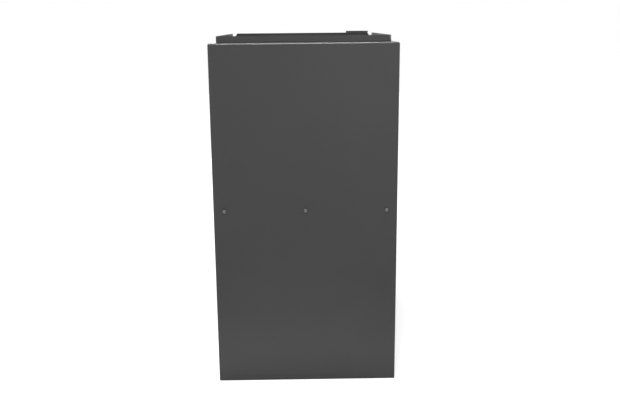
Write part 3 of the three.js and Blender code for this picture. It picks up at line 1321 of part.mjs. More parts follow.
/** The four captive screws: [x, z, which door, which side]. */
function knobPlaces() {
  return [[1, 'upper'], [-1, 'lower']].flatMap(([up, which]) => (
    [[-1, 'left'], [1, 'right']].map(([side, name]) => (
      [side * knob.spanX, splitHeight + up * knob.fromSplit, which, name]))));
}

/** Holes for the captive screws of one door. */
function knobHoles(which) {
  return knobPlaces().filter(([, , owner]) => owner === which).map(([x, z]) => rod('y',
    knob.shankRadius + slidingFit, [doorFront - sheet, doorBack + sheet], [x, 0, z], 16));
}

/** Captive screw: a lobed head and a collar in front of the door, and a shank along +Y. */
function doorKnob() {
  const collarFront = -seatGap - knob.collarHeight;
  const headSpan = [collarFront - knob.height, collarFront];
  const lobes = [...Array(knob.lobes).keys()].map((i) => {
    const angle = (i / knob.lobes) * 2 * Math.PI;
    const reach = knob.radius - knob.lobeRadius;
    return rod('y', knob.lobeRadius, headSpan,
      [reach * Math.cos(angle), 0, reach * Math.sin(angle)], 8);
  });
  return joined(
    rod('y', knob.radius - knob.lobeRadius, headSpan, [0, 0, 0], 12),
    rod('y', knob.collarRadius, [collarFront - sheet, -seatGap], [0, 0, 0], 12),
    rod('y', knob.shankRadius, [collarFront, knob.shankReach], [0, 0, 0], 12),
    ...lobes);
}

/** Sight glass: a rim in front of the door and the glass through its hole. */
function sightGlass() {
  return turned('y', [[0, -sight.rimHeight], [sight.rimRadius - sheet, -sight.rimHeight],
    [sight.rimRadius, sheet / 2 - sight.rimHeight], [sight.rimRadius, -seatGap],
    [sight.radius, -seatGap], [sight.radius, sight.glassHeight], [0, sight.glassHeight]],
  0, [0, 0, 0], 28);
}

/** Padding inside the lower door, between the finger pull and the lower edge. */
function doorLiner(lowerTop) {
  const half = halfWidth - liner.margin;
  const top = lowerTop - door.pullInset - door.pullHeight / 2 - liner.margin;
  return plateXZ(roundedOutline([-half, half], [liner.bottomMargin, top], [4, 4, 4, 4], 2),
    [doorInner + seatGap, doorInner + seatGap + liner.thickness]);
}

const upperSpan = [splitHeight + door.splitGap / 2, cabinet.height];
const lowerSpan = [door.floorGap, splitHeight - door.splitGap / 2];
const sightPlace = [burner.middleX, doorFront, burnerZ];
const sightHole = rod('y', sight.radius + slidingFit, [-sheet, 2 * sheet], sightPlace, 28);
const upperDoor = doorPan(upperSpan, upperSpan[0] + door.pullInset);
const lowerDoor = doorPan(lowerSpan, lowerSpan[1] - door.pullInset);
addPiece(doors, 'upper_door', cut(upperDoor, sightHole, ...knobHoles('upper')), finishes.greyPaint);
addPiece(doors, 'lower_door', cut(lowerDoor, ...knobHoles('lower')), finishes.greyPaint);
addPiece(doors, 'lower_door_liner', doorLiner(lowerSpan[1]), finishes.foil);
addPiece(doors, 'sight_glass', sightGlass(), finishes.glass, sightPlace);
for (const [x, z, which, side] of knobPlaces()) {
  addPiece(doors, `${which}_door_knob_${side}`, doorKnob(), finishes.blackPlastic, [x, doorFront, z]);
}

group.position.y = (-knobFace - rearReach) / 2;

export default group;
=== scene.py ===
"""Blender scene of a forced air gas furnace, seen from behind and a little above."""
import json
import logging
import math
from dataclasses import dataclass
from enum import Enum
from typing import Callable, Dict, Iterable, List, Optional, Sequence, Set, Tuple

import bmesh
import bpy
from mathutils import Matrix, Vector


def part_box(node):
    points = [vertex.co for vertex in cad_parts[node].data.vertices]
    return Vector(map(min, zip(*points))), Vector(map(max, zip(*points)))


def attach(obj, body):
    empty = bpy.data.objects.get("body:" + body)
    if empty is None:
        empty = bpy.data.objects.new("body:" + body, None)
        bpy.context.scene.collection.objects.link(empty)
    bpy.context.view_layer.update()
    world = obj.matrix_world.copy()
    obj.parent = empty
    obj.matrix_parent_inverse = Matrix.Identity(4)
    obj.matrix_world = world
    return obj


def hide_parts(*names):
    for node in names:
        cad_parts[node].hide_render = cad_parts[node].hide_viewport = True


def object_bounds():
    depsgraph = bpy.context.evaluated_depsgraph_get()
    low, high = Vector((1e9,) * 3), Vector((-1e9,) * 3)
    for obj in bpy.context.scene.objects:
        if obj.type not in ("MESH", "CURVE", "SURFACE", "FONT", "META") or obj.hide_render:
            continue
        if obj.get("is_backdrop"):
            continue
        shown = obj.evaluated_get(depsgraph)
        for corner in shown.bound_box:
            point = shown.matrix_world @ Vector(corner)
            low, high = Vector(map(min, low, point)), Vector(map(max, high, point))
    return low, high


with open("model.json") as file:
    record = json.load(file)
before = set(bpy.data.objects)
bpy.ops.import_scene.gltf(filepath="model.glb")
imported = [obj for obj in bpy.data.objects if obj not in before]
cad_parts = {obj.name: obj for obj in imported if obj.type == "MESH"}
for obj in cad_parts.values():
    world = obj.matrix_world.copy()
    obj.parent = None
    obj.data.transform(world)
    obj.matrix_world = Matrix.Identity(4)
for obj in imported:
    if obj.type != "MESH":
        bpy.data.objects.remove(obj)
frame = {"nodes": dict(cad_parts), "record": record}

LOG = logging.getLogger("furnace")
Colour = Tuple[float, float, float]
Point = Tuple[float, float, float]
Profile = Sequence[Tuple[float, float]]

MM = 0.001
MERGE_DISTANCE = 0.00001
FLAT_ANGLE = math.radians(1.0)
ON_AXIS = 0.00001
REPLACED: Set[str] = set()


# ---- Finishes ----

class Shader:
    """One material's node tree, with short calls to add and join its nodes."""

    def __init__(self, name: str, base: Colour, roughness: float, metallic: float = 0.0) -> None:
        """Makes a material with one surface shader and its constants.

        Args:
            name: Name of the material.
            base: Linear base colour.
            roughness: Roughness from 0 to 1.
            metallic: 1 for bare metal, 0 for anything else.
        """
        self.material = bpy.data.materials.new(name)
        self.material.use_nodes = True
        self.tree = self.material.node_tree
        self.tree.nodes.clear()
        output = self.tree.nodes.new("ShaderNodeOutputMaterial")
        self.surface = self.tree.nodes.new("ShaderNodeBsdfPrincipled")
        self.tree.links.new(self.surface.outputs[0], output.inputs["Surface"])
        self.place = self.tree.nodes.new("ShaderNodeTexCoord").outputs["Object"]
        self.set("Base Color", (*base, 1.0))
        self.set("Roughness", roughness)
        self.set("Metallic", metallic)
        self.material.diffuse_color = (*base, 1.0)

    def set(self, socket: str, value: object) -> None:
        """Sets a constant on the surface shader's own socket."""
        self.surface.inputs[socket].default_value = value

    def join(self, source: bpy.types.NodeSocket, socket: str) -> None:
        """Joins a varying value to a socket of the surface shader."""
        self.tree.links.new(source, self.surface.inputs[socket])

    def stretched(self, scale: Point) -> bpy.types.NodeSocket:
        """Object coordinates stretched per axis, for brushed or drawn grain.

        Args:
            scale: How far each axis is multiplied.

        Returns:
            The output that holds the stretched coordinates.
        """
        node = self.tree.nodes.new("ShaderNodeMapping")
        node.inputs["Scale"].default_value = scale
        self.tree.links.new(self.place, node.inputs["Vector"])
        return node.outputs[0]

    def noise(self, scale: float, detail: float = 2.0,
              place: Optional[bpy.types.NodeSocket] = None) -> bpy.types.NodeSocket:
        """Noise of a given scale on the object's own coordinates.

        Args:
            scale: Waves per metre.
            detail: Octaves.
            place: Other coordinates than the plain ones.

        Returns:
            The output that holds the noise.
        """
        node = self.tree.nodes.new("ShaderNodeTexNoise")
        node.inputs["Scale"].default_value = scale
        node.inputs["Detail"].default_value = detail
        self.tree.links.new(place or self.place, node.inputs["Vector"])
        return node.outputs["Fac"]

    def cells(self, scale: float, output: str = "Distance") -> bpy.types.NodeSocket:
        """Voronoi cells of a given scale.

        Args:
            scale: Cells per metre.
            output: Which of the texture's outputs is wanted.

        Returns:
            That output.
        """
        node = self.tree.nodes.new("ShaderNodeTexVoronoi")
        node.inputs["Scale"].default_value = scale
        self.tree.links.new(self.place, node.inputs["Vector"])
        return node.outputs[output]

    def ramp(self, source: bpy.types.NodeSocket, stops: Sequence[Tuple[float, Colour]],
             socket: str = "Base Color") -> None:
        """Colours a varying value through a ramp and joins it to the surface.

        Args:
            source: The varying value.
            stops: Places from 0 to 1, each with its linear colour.
            socket: The socket that takes the colour.
        """
        node = self.tree.nodes.new("ShaderNodeValToRGB")
        elements = node.color_ramp.elements
        while len(elements) < len(stops):
            elements.new(0.5)
        for element, (place, colour) in zip(elements, stops):
            element.position = place
            element.color = (*colour, 1.0)
        self.tree.links.new(source, node.inputs["Fac"])
        self.join(node.outputs["Color"], socket)

    def span(self, source: bpy.types.NodeSocket, low: float, high: float,
             socket: str = "Roughness") -> None:
        """Maps a varying value from 0..1 to low..high and joins it to the surface.

        Args:
            source: The varying value.
            low: Result at 0.
            high: Result at 1.
            socket: The socket that takes the result.
        """
        node = self.tree.nodes.new("ShaderNodeMapRange")
        node.inputs["To Min"].default_value = low
        node.inputs["To Max"].default_value = high
        self.tree.links.new(source, node.inputs["Value"])
        self.join(node.outputs["Result"], socket)

    def bump(self, source: bpy.types.NodeSocket, height: float, strength: float = 1.0) -> None:
        """Raises the surface by a varying value.

        Args:
            source: The varying value.
            height: Height in metres between 0 and 1.
            strength: How much of the bump is seen.
        """
        node = self.tree.nodes.new("ShaderNodeBump")
        node.inputs["Distance"].default_value = height
        node.inputs["Strength"].default_value = strength
        self.tree.links.new(source, node.inputs["Height"])
        if self.surface.inputs["Normal"].is_linked:
            before = self.surface.inputs["Normal"].links[0].from_socket
            self.tree.links.new(before, node.inputs["Normal"])
        self.join(node.outputs["Normal"], "Normal")


def shade(colour: Colour, factor: float) -> Colour:
    """The colour times a factor, each channel held under 1."""
    return tuple(min(1.0, channel * factor) for channel in colour)


@dataclass(frozen=True)
class SatinPaint:
    """Baked enamel on sheet steel: a faint mottle, orange peel and an even satin gloss."""

    name: str = "grey_enamel"
    colour: Colour = (0.0475, 0.0475, 0.047)
    roughness: float = 0.33
    mottle: float = 0.04
    peel: float = 0.00001

    def material(self) -> bpy.types.Material:
        """Builds the paint.

        Returns:
            The finished material.
        """
        shader = Shader(self.name, self.colour, self.roughness)
        drift = shader.noise(6.0, 3.0)
        shader.ramp(drift, [(0.3, shade(self.colour, 1 - self.mottle)),
                            (0.7, shade(self.colour, 1 + self.mottle))])
        shader.span(shader.noise(24.0, 4.0), self.roughness - 0.05, self.roughness + 0.05)
        shader.bump(shader.noise(650.0, 2.0), self.peel, 0.5)
        shader.set("Specular IOR Level", 0.35)
        return shader.material


@dataclass(frozen=True)
class SpangledZinc:
    """Hot-dipped zinc on steel, with the flat crystals that it sets in."""

    name: str = "zinc_steel"
    colour: Colour = (0.46, 0.47, 0.48)
    roughness: float = 0.42
    crystals: float = 130.0

    def material(self) -> bpy.types.Material:
        """Builds the zinc coat.

        Returns:
            The finished material.
        """
        shader = Shader(self.name, self.colour, self.roughness, 0.9)
        flakes = shader.cells(self.crystals, "Color")
        shader.ramp(flakes, [(0.2, shade(self.colour, 0.82)), (0.55, self.colour),
                             (0.9, shade(self.colour, 1.16))])
        shader.span(flakes, self.roughness - 0.12, self.roughness + 0.12)
        shader.bump(shader.noise(90.0, 3.0), 0.00002, 0.4)
        return shader.material


@dataclass(frozen=True)
class BareMetal:
    """Bare or plated metal, drawn, brushed, rolled or cast."""

    name: str
    colour: Colour
    roughness: float
    grain: Point = (1.0, 1.0, 1.0)
    scale: float = 260.0
    height: float = 0.00002
    contrast: float = 0.1
    cast: bool = False
    tint: Optional[Colour] = None

    def material(self) -> bpy.types.Material:
        """Builds the metal.

        Returns:
            The finished material.
        """
        shader = Shader(self.name, self.colour, self.roughness, 1.0)
        lines = shader.noise(self.scale, 3.0, shader.stretched(self.grain))
        stops = [(0.3, shade(self.colour, 1 - self.contrast)),
                 (0.7, shade(self.colour, 1 + self.contrast))]
        if self.tint:
            shader.ramp(shader.noise(9.0, 4.0),
                        [(0.35, self.colour), (0.52, shade(self.colour, 0.9)), (0.75, self.tint)])
        else:
            shader.ramp(lines, stops)
        shader.span(lines, self.roughness - 0.08, self.roughness + 0.1)
        if self.cast:
            shader.bump(shader.cells(420.0), self.height * 2, 0.6)
        shader.bump(lines, self.height, 0.5)
        return shader.material


@dataclass(frozen=True)
class Moulded:
    """Moulded plastic or rubber, with a spark-eroded grain and a soft drift of tone."""

    name: str
    colour: Colour
    roughness: float
    grain: float = 900.0
    height: float = 0.00003
    sheen: float = 0.0

    def material(self) -> bpy.types.Material:
        """Builds the plastic or rubber.

        Returns:
            The finished material.
        """
        shader = Shader(self.name, self.colour, self.roughness)
        shader.ramp(shader.noise(35.0, 3.0), [(0.25, shade(self.colour, 0.88)),
                                              (0.75, shade(self.colour, 1.12))])
        shader.span(shader.noise(140.0), self.roughness - 0.06, self.roughness + 0.06)
        shader.bump(shader.noise(self.grain, 1.0), self.height, 0.4)
        shader.set("Sheen Weight", self.sheen)
        return shader.material


@dataclass(frozen=True)
class FoilLiner:
    """Insulation faced with embossed foil."""

    name: str = "foil_liner"
    colour: Colour = (0.7, 0.7, 0.71)
    diamonds: float = 180.0

    def material(self) -> bpy.types.Material:
        """Builds the foil.

        Returns:
            The finished material.
        """
        shader = Shader(self.name, self.colour, 0.3, 1.0)
        creases = shader.noise(self.diamonds, 5.0)
        shader.ramp(shader.noise(20.0, 3.0), [(0.3, shade(self.colour, 0.85)),
                                              (0.7, self.colour)])
        shader.span(creases, 0.22, 0.45)
        shader.bump(creases, 0.0006, 0.7)
        return shader.material


@dataclass(frozen=True)
class BoardLaminate:
    """Circuit board: green mask over copper traces."""

    name: str = "circuit_board"
    mask: Colour = (0.012, 0.13, 0.045)
    trace: Colour = (0.03, 0.22, 0.08)

    def material(self) -> bpy.types.Material:
        """Builds the board's face.

        Returns:
            The finished material.
        """
        shader = Shader(self.name, self.mask, 0.35)
        brick = shader.tree.nodes.new("ShaderNodeTexBrick")
        brick.inputs["Scale"].default_value = 90.0
        brick.inputs["Mortar Size"].default_value = 0.03
        brick.inputs["Color1"].default_value = (*self.mask, 1.0)
        brick.inputs["Color2"].default_value = (*shade(self.mask, 1.25), 1.0)
        brick.inputs["Mortar"].default_value = (*self.trace, 1.0)
        shader.tree.links.new(shader.place, brick.inputs["Vector"])
        shader.join(brick.outputs["Color"], "Base Color")
        shader.bump(brick.outputs["Fac"], 0.00005, 0.5)
        shader.set("Coat Weight", 0.3)
        return shader.material


@dataclass(frozen=True)
class ClearGlass:
    """Heat-proof sight glass, with a trace of soot haze."""

    name: str = "sight_glass"
    colour: Colour = (0.75, 0.82, 0.8)

    def material(self) -> bpy.types.Material:
        """Builds the glass.

        Returns:
            The finished material.
        """
        shader = Shader(self.name, self.colour, 0.06)
        shader.span(shader.noise(60.0, 3.0), 0.03, 0.14)
        shader.set("Transmission Weight", 0.85)
        shader.set("IOR", 1.47)
        return shader.material


class Finish(Enum):
    """Every finish on the furnace."""

    ENAMEL = SatinPaint()
    ZINC = SpangledZinc()
    ALUMINISED = BareMetal("aluminised_steel", (0.36, 0.35, 0.34), 0.46, scale=160.0,
                           contrast=0.14, tint=(0.16, 0.12, 0.1))
    ALUMINIUM = BareMetal("aluminium", (0.62, 0.63, 0.64), 0.3, grain=(1.0, 18.0, 1.0),
                          scale=420.0)
    CAST = BareMetal("cast_aluminium", (0.47, 0.48, 0.49), 0.5, scale=300.0, cast=True)
    PLATED = BareMetal("plated_screw", (0.17, 0.17, 0.168), 0.38, scale=700.0, contrast=0.18)
    BLACK_PIPE = BareMetal("black_pipe", (0.035, 0.034, 0.033), 0.5, scale=220.0, contrast=0.25)
    COPPER = BareMetal("copper_winding", (0.55, 0.2, 0.09), 0.35, grain=(1.0, 1.0, 30.0),
                       scale=300.0, contrast=0.2)
    BLACK_PLASTIC = Moulded("black_plastic", (0.018, 0.018, 0.019), 0.38)
    DARK_PLASTIC = Moulded("dark_collar", (0.022, 0.022, 0.022), 0.4)
    WHITE_PLASTIC = Moulded("white_plastic", (0.62, 0.61, 0.57), 0.35)
    RUBBER = Moulded("black_rubber", (0.014, 0.014, 0.014), 0.7, 500.0, 0.00006, 0.2)
    RED_PLASTIC = Moulded("red_plastic", (0.5, 0.02, 0.015), 0.32)
    MOTOR = SatinPaint("motor_paint", (0.02, 0.021, 0.023), 0.36, 0.12, 0.00003)
    CERAMIC = Moulded("ceramic", (0.55, 0.5, 0.42), 0.62, 1400.0, 0.00005)
    BOARD = BoardLaminate()
    SILICONE = Moulded("silicone", (0.42, 0.09, 0.05), 0.45)
    GLASS = ClearGlass()
    FOIL = FoilLiner()
    WIRE_RED = Moulded("wire_red", (0.4, 0.02, 0.015), 0.4)
    WIRE_YELLOW = Moulded("wire_yellow", (0.6, 0.42, 0.03), 0.4)
    WIRE_BLUE = Moulded("wire_blue", (0.02, 0.06, 0.35), 0.4)
    WIRE_WHITE = Moulded("wire_white", (0.6, 0.6, 0.58), 0.4)
    WIRE_BLACK = Moulded("wire_black", (0.015, 0.015, 0.015), 0.4)

    @property
    def built(self) -> bpy.types.Material:
        """Finds the finish's material, and builds it when it is first asked for.

        Returns:
            The material.
        """
        if self.value.name not in bpy.data.materials:
            self.value.material()
        return bpy.data.materials[self.value.name]


SLOTS: Dict[str, Finish] = {
    "grey_paint": Finish.ENAMEL, "zinc_steel": Finish.ZINC,
    "aluminised_steel": Finish.ALUMINISED, "aluminium": Finish.ALUMINIUM,
    "cast_aluminium": Finish.CAST, "black_pipe": Finish.BLACK_PIPE,
    "black_plastic": Finish.BLACK_PLASTIC, "white_plastic": Finish.WHITE_PLASTIC,
    "black_rubber": Finish.RUBBER, "red_plastic": Finish.RED_PLASTIC,
    "motor_paint": Finish.MOTOR, "ceramic": Finish.CERAMIC, "circuit_board": Finish.BOARD,
    "silicone": Finish.SILICONE, "sight_glass": Finish.GLASS, "foil_liner": Finish.FOIL,
}


# ---- Making and finishing meshes ----

def body_of(node: str) -> str:
    """Finds the CAD body that a node belongs to.

    Args:
        node: The CAD node.

    Returns:
        The body's name.
    """
    for body, nodes in frame["record"]["behaviour"]["bodies"].items():
        if node in nodes:
            return body
    raise KeyError(node)


def slot_of(node: str) -> str:
    """Finds the record's material slot of a node.

    Args:
        node: The CAD node.

    Returns:
        The slot's name.
    """
    for entry in frame["record"]["subparts"]:
        if entry["node"] == node:
            return entry["material_slot"]
    raise KeyError(node)


def new_object(name: str, build: Callable[[bmesh.types.BMesh], None]) -> bpy.types.Object:
    """Makes an object from a function that fills a bmesh.

    Args:
        name: Name of the object and of its mesh.
        build: Fills the empty bmesh.

    Returns:
        The object, linked to the scene.
    """
    work = bmesh.new()
    build(work)
    bmesh.ops.recalc_face_normals(work, faces=work.faces)
    mesh = bpy.data.meshes.new(name)
    work.to_mesh(mesh)
    work.free()
    made = bpy.data.objects.new(name, mesh)
    bpy.context.scene.collection.objects.link(made)
    return made


def soften(made: bpy.types.Object, width: float, segments: int = 2, angle: float = 30.0) -> None:
    """Rounds the sharp edges and shades the flats evenly beside them.

    Args:
        made: The object.
        width: Width of the rounding in metres.
        segments: Faces across the rounding.
        angle: Edges that turn by more than this many degrees are rounded.
    """
    bevel = made.modifiers.new("rounding", "BEVEL")
    bevel.width = width
    bevel.segments = segments
    bevel.limit_method = "ANGLE"
    bevel.angle_limit = math.radians(angle)
    bevel.use_clamp_overlap = True
    bevel.miter_outer = "MITER_ARC"
    smooth(made)


def smooth(made: bpy.types.Object, angle: float = 40.0) -> None:
    """Shades an object smooth, with its sharp edges kept and its large faces held flat.

    Args:
        made: The object.
        angle: Edges that turn by more than this many degrees stay sharp.
    """
    made.data.polygons.foreach_set("use_smooth", [True] * len(made.data.polygons))
    made.data.set_sharp_from_angle(angle=math.radians(angle))
    weighted = made.modifiers.new("even flats", "WEIGHTED_NORMAL")
    weighted.keep_sharp = True
    weighted.mode = "FACE_AREA"


def settle(made: bpy.types.Object) -> None:
    """Applies an object's modifiers, so that it holds a plain mesh.

    Args:
        made: The object.
    """
    graph = bpy.context.evaluated_depsgraph_get()
    graph.update()
    mesh = bpy.data.meshes.new_from_object(made.evaluated_get(graph), depsgraph=graph)
    mesh.name = made.name
    made.modifiers.clear()
    old = made.data
    made.data = mesh
    bpy.data.meshes.remove(old)


def finish_piece(made: bpy.types.Object, finish: Finish, body: str,
                 nodes: Iterable[str] = ()) -> bpy.types.Object:
    """Dresses a piece and says what it rides on and stands for.

    Args:
        made: The piece.
        finish: Its finish. A piece that has materials keeps them.
        body: The CAD body that it rides on.
        nodes: CAD nodes that it stands for.

    Returns:
        The piece.
    """
    if made.modifiers:
        settle(made)
    if not made.data.materials:
        made.data.materials.append(finish.built)
    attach(made, body)
    if nodes:
        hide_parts(*nodes)
        REPLACED.update(nodes)
    LOG.info("piece %s: %d faces, on %s", made.name, len(made.data.polygons), body)
    return made


def copied(node: str, name: str) -> bpy.types.Object:
    """Copies a CAD node's mesh into a new object, with its flats merged into whole faces.

    Args:
        node: The CAD node.
        name: Name of the copy.

    Returns:
        The copy, with no material.
    """
    source = frame["nodes"][node]
    mesh = source.data.copy()
    mesh.name = name
    mesh.materials.clear()
    work = bmesh.new()
    work.from_mesh(mesh)
    bmesh.ops.remove_doubles(work, verts=work.verts, dist=MERGE_DISTANCE)
    bmesh.ops.dissolve_limit(work, angle_limit=FLAT_ANGLE, verts=work.verts,
                             edges=work.edges, delimit=set())
    work.to_mesh(mesh)
    work.free()
    for name_of_layer in [a.name for a in mesh.attributes if a.name.startswith("custom_normal")]:
        mesh.attributes.remove(mesh.attributes[name_of_layer])
    made = bpy.data.objects.new(name, mesh)
    bpy.context.scene.collection.objects.link(made)
    return made


def drawn_back(node: str, axis: str, anchor: float, by: float = 0.5 * MM) -> bpy.types.Object:
    """Copies a node and draws its near end back a little, to leave room for thin trim on it.

    Args:
        node: The CAD node.
        axis: The axis that it is drawn back along.
        anchor: The place on that axis that stays.
        by: How far the near end moves.

    Returns:
        The copy.
    """
    made = copied(node, f"{node}_shell")
    low = getattr(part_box(node)[0], axis)
    factor = 1 - by / (anchor - low)
    for vertex in made.data.vertices:
        here = getattr(vertex.co, axis)
        setattr(vertex.co, axis, anchor + (here - anchor) * factor)
    return made


# ---- Geometry Nodes ----

class Repeat:
    """A Geometry Nodes tree that sets one shape on the points of a line or a ring."""

    def __init__(self, name: str) -> None:
        """Starts an empty tree.

        Args:
            name: Name of the tree.
        """
        self.tree = bpy.data.node_groups.new(name, "GeometryNodeTree")
        self.tree.interface.new_socket("Geometry", in_out="OUTPUT",
                                       socket_type="NodeSocketGeometry")
        self.inputs = self.tree.nodes.new("NodeGroupInput")
        self.outputs = self.tree.nodes.new("NodeGroupOutput")
        self.identifiers: Dict[str, str] = {}

    def size(self, name: str, kind: str, value: object) -> None:
        """Adds a named input to the tree.

        Args:
            name: What the input is called.
            kind: Socket type, such as NodeSocketFloat.
            value: Its default, or None.
        """
        socket = self.tree.interface.new_socket(name, in_out="INPUT", socket_type=kind)
        if value is not None:
            socket.default_value = value
        self.identifiers[name] = socket.identifier

    def node(self, kind: str, **inputs: object) -> bpy.types.Node:
        """Adds a node and sets or joins its inputs by name.

        Args:
            kind: The node's type.
            inputs: Value or output socket for each named input, spaces as underscores.

        Returns:
            The node.
        """
        made = self.tree.nodes.new(kind)
        for name, value in inputs.items():
            socket = made.inputs[name.replace("_", " ")]
            if isinstance(value, bpy.types.NodeSocket):
                self.tree.links.new(value, socket)
            else:
                socket.default_value = value
        return made

    def group_input(self, name: str) -> bpy.types.NodeSocket:
        """The tree's own named input."""
        return self.inputs.outputs[name]

    def end(self, instances: bpy.types.NodeSocket) -> None:
        """Makes the copies real, sets their material and ends the tree.

        Args:
            instances: The output that holds the copies.
        """
        real = self.node("GeometryNodeRealizeInstances", Geometry=instances)
        dressed = self.node("GeometryNodeSetMaterial", Geometry=real.outputs[0],
                            Material=self.group_input("Material"))
        self.tree.links.new(dressed.outputs[0], self.outputs.inputs[0])


def ring_tree() -> Repeat:
    """Builds the tree that sets a shape on points evenly round the Z axis.

    Returns:
        The tree, with its named inputs.
    """
    tree = Repeat("ring of copies")
    tree.size("Shape", "NodeSocketObject", None)
    tree.size("Count", "NodeSocketInt", 12)
    tree.size("Radius", "NodeSocketFloat", 0.1)
    tree.size("Material", "NodeSocketMaterial", None)
    circle = tree.node("GeometryNodeMeshCircle", Vertices=tree.group_input("Count"),
                       Radius=tree.group_input("Radius"))
    index = tree.node("GeometryNodeInputIndex")
    turn = tree.node("ShaderNodeMath")
    turn.operation = "DIVIDE"
    tree.tree.links.new(index.outputs[0], turn.inputs[0])
    tree.tree.links.new(tree.group_input("Count"), turn.inputs[1])
    whole = tree.node("ShaderNodeMath")
    whole.operation = "MULTIPLY"
    tree.tree.links.new(turn.outputs[0], whole.inputs[0])
    whole.inputs[1].default_value = math.tau
    angle = tree.node("ShaderNodeCombineXYZ", Z=whole.outputs[0])
    shape = tree.node("GeometryNodeObjectInfo", Object=tree.group_input("Shape"))
    copies = tree.node("GeometryNodeInstanceOnPoints", Points=circle.outputs["Mesh"],
                       Instance=shape.outputs["Geometry"], Rotation=angle.outputs[0])
    tree.end(copies.outputs[0])
    return tree


def row_tree() -> Repeat:
    """Builds the tree that sets a shape on points evenly along a line.

    Returns:
        The tree, with its named inputs.
    """
    tree = Repeat("row of copies")
    tree.size("Shape", "NodeSocketObject", None)
    tree.size("Count", "NodeSocketInt", 12)
    tree.size("Step", "NodeSocketVector", (0.01, 0.0, 0.0))
    tree.size("Material", "NodeSocketMaterial", None)
    line = tree.node("GeometryNodeMeshLine", Count=tree.group_input("Count"),
                     Offset=tree.group_input("Step"))
    shape = tree.node("GeometryNodeObjectInfo", Object=tree.group_input("Shape"))
    copies = tree.node("GeometryNodeInstanceOnPoints", Points=line.outputs["Mesh"],
                       Instance=shape.outputs["Geometry"])
    tree.end(copies.outputs[0])
    return tree


def repeated(name: str, tree: Repeat, shape: bpy.types.Object, finish: Finish,
             place: Matrix, **sizes: object) -> bpy.types.Object:
    """Runs a tree on a shape and leaves a plain mesh where it belongs.

    Args:
        name: Name of the result.
        tree: The tree to run.
        shape: The shape that repeats; it is removed afterwards.
        finish: Finish of the copies.
        place: Where the row's or ring's own frame goes.
        sizes: The tree's named inputs.

    Returns:
        The object, at the origin, with its place in its mesh.
    """
    made = new_object(name, lambda work: bmesh.ops.create_vert(work, co=(0, 0, 0)))
    modifier = made.modifiers.new(tree.tree.name, "NODES")
    modifier.node_group = tree.tree
    for label, value in {"Shape": shape, "Material": finish.built, **sizes}.items():
        modifier[tree.identifiers[label]] = value
    settle(made)
    made.data.transform(place)
    bpy.data.objects.remove(shape)
    smooth(made)
    settle(made)
    return made


# ---- Shapes ----

def add_box(work: bmesh.types.BMesh, low: Point, high: Point) -> None:
    """Adds a closed box to a bmesh.

    Args:
        work: The bmesh.
        low: Lowest corner.
        high: Highest corner.
    """
    corners = [work.verts.new((x, y, z)) for x in (low[0], high[0]) for y in (low[1], high[1])
               for z in (low[2], high[2])]
    for a, b, c, d in ((0, 1, 3, 2), (4, 6, 7, 5), (0, 4, 5, 1), (2, 3, 7, 6), (0, 2, 6, 4),
                       (1, 5, 7, 3)):
        work.faces.new([corners[a], corners[b], corners[c], corners[d]])


def add_turned(work: bmesh.types.BMesh, profile: Profile, place: Matrix,
               steps: int = 32, lobes: int = 0, lobe_depth: float = 0.0) -> None:
    """Adds a shape turned round the Z axis of a place.

    Args:
        work: The bmesh.
        profile: (radius, height) pairs from one end to the other. A radius of 0 is a pole.
        place: Where the shape's own frame goes.
        steps: Faces round it.
        lobes: Number of grip lobes, or 0.
        lobe_depth: How far the grooves between the lobes cut in.
    """
    rings: List[List[bmesh.types.BMVert]] = []
    for radius, height in profile:
        if radius <= 0:
            rings.append([work.verts.new(place @ Vector((0, 0, height)))])
            continue
        ring = []
        for step in range(steps):
            angle = math.tau * step / steps
            reach = radius - lobe_depth * (0.5 - 0.5 * math.cos(lobes * angle)) if lobes else radius
            ring.append(work.verts.new(place @ Vector((reach * math.cos(angle),
                                                       reach * math.sin(angle), height))))
        rings.append(ring)
    for lower, upper in zip(rings, rings[1:]):
        for step in range(steps):
            after = (step + 1) % steps
            if len(lower) == 1:
                work.faces.new([lower[0], upper[step], upper[after]])
            elif len(upper) == 1:
                work.faces.new([lower[step], lower[after], upper[0]])
            else:
                work.faces.new([lower[step], lower[after], upper[after], upper[step]])
    if len(rings[0]) == len(rings[-1]) == steps:
        for step in range(steps):
            after = (step + 1) % steps
            work.faces.new([rings[-1][step], rings[-1][after], rings[0][after], rings[0][step]])


def facing(direction: Point, at: Point) -> Matrix:
    """Place of a turned shape whose Z axis points along a direction.

    Args:
        direction: Where the shape's Z axis points.
        at: Where its origin goes.

    Returns:
        The place as a matrix.
    """
    turn = Vector(direction).to_track_quat("Z", "Y").to_matrix().to_4x4()
    return Matrix.Translation(at) @ turn


# ---- Cabinet ----

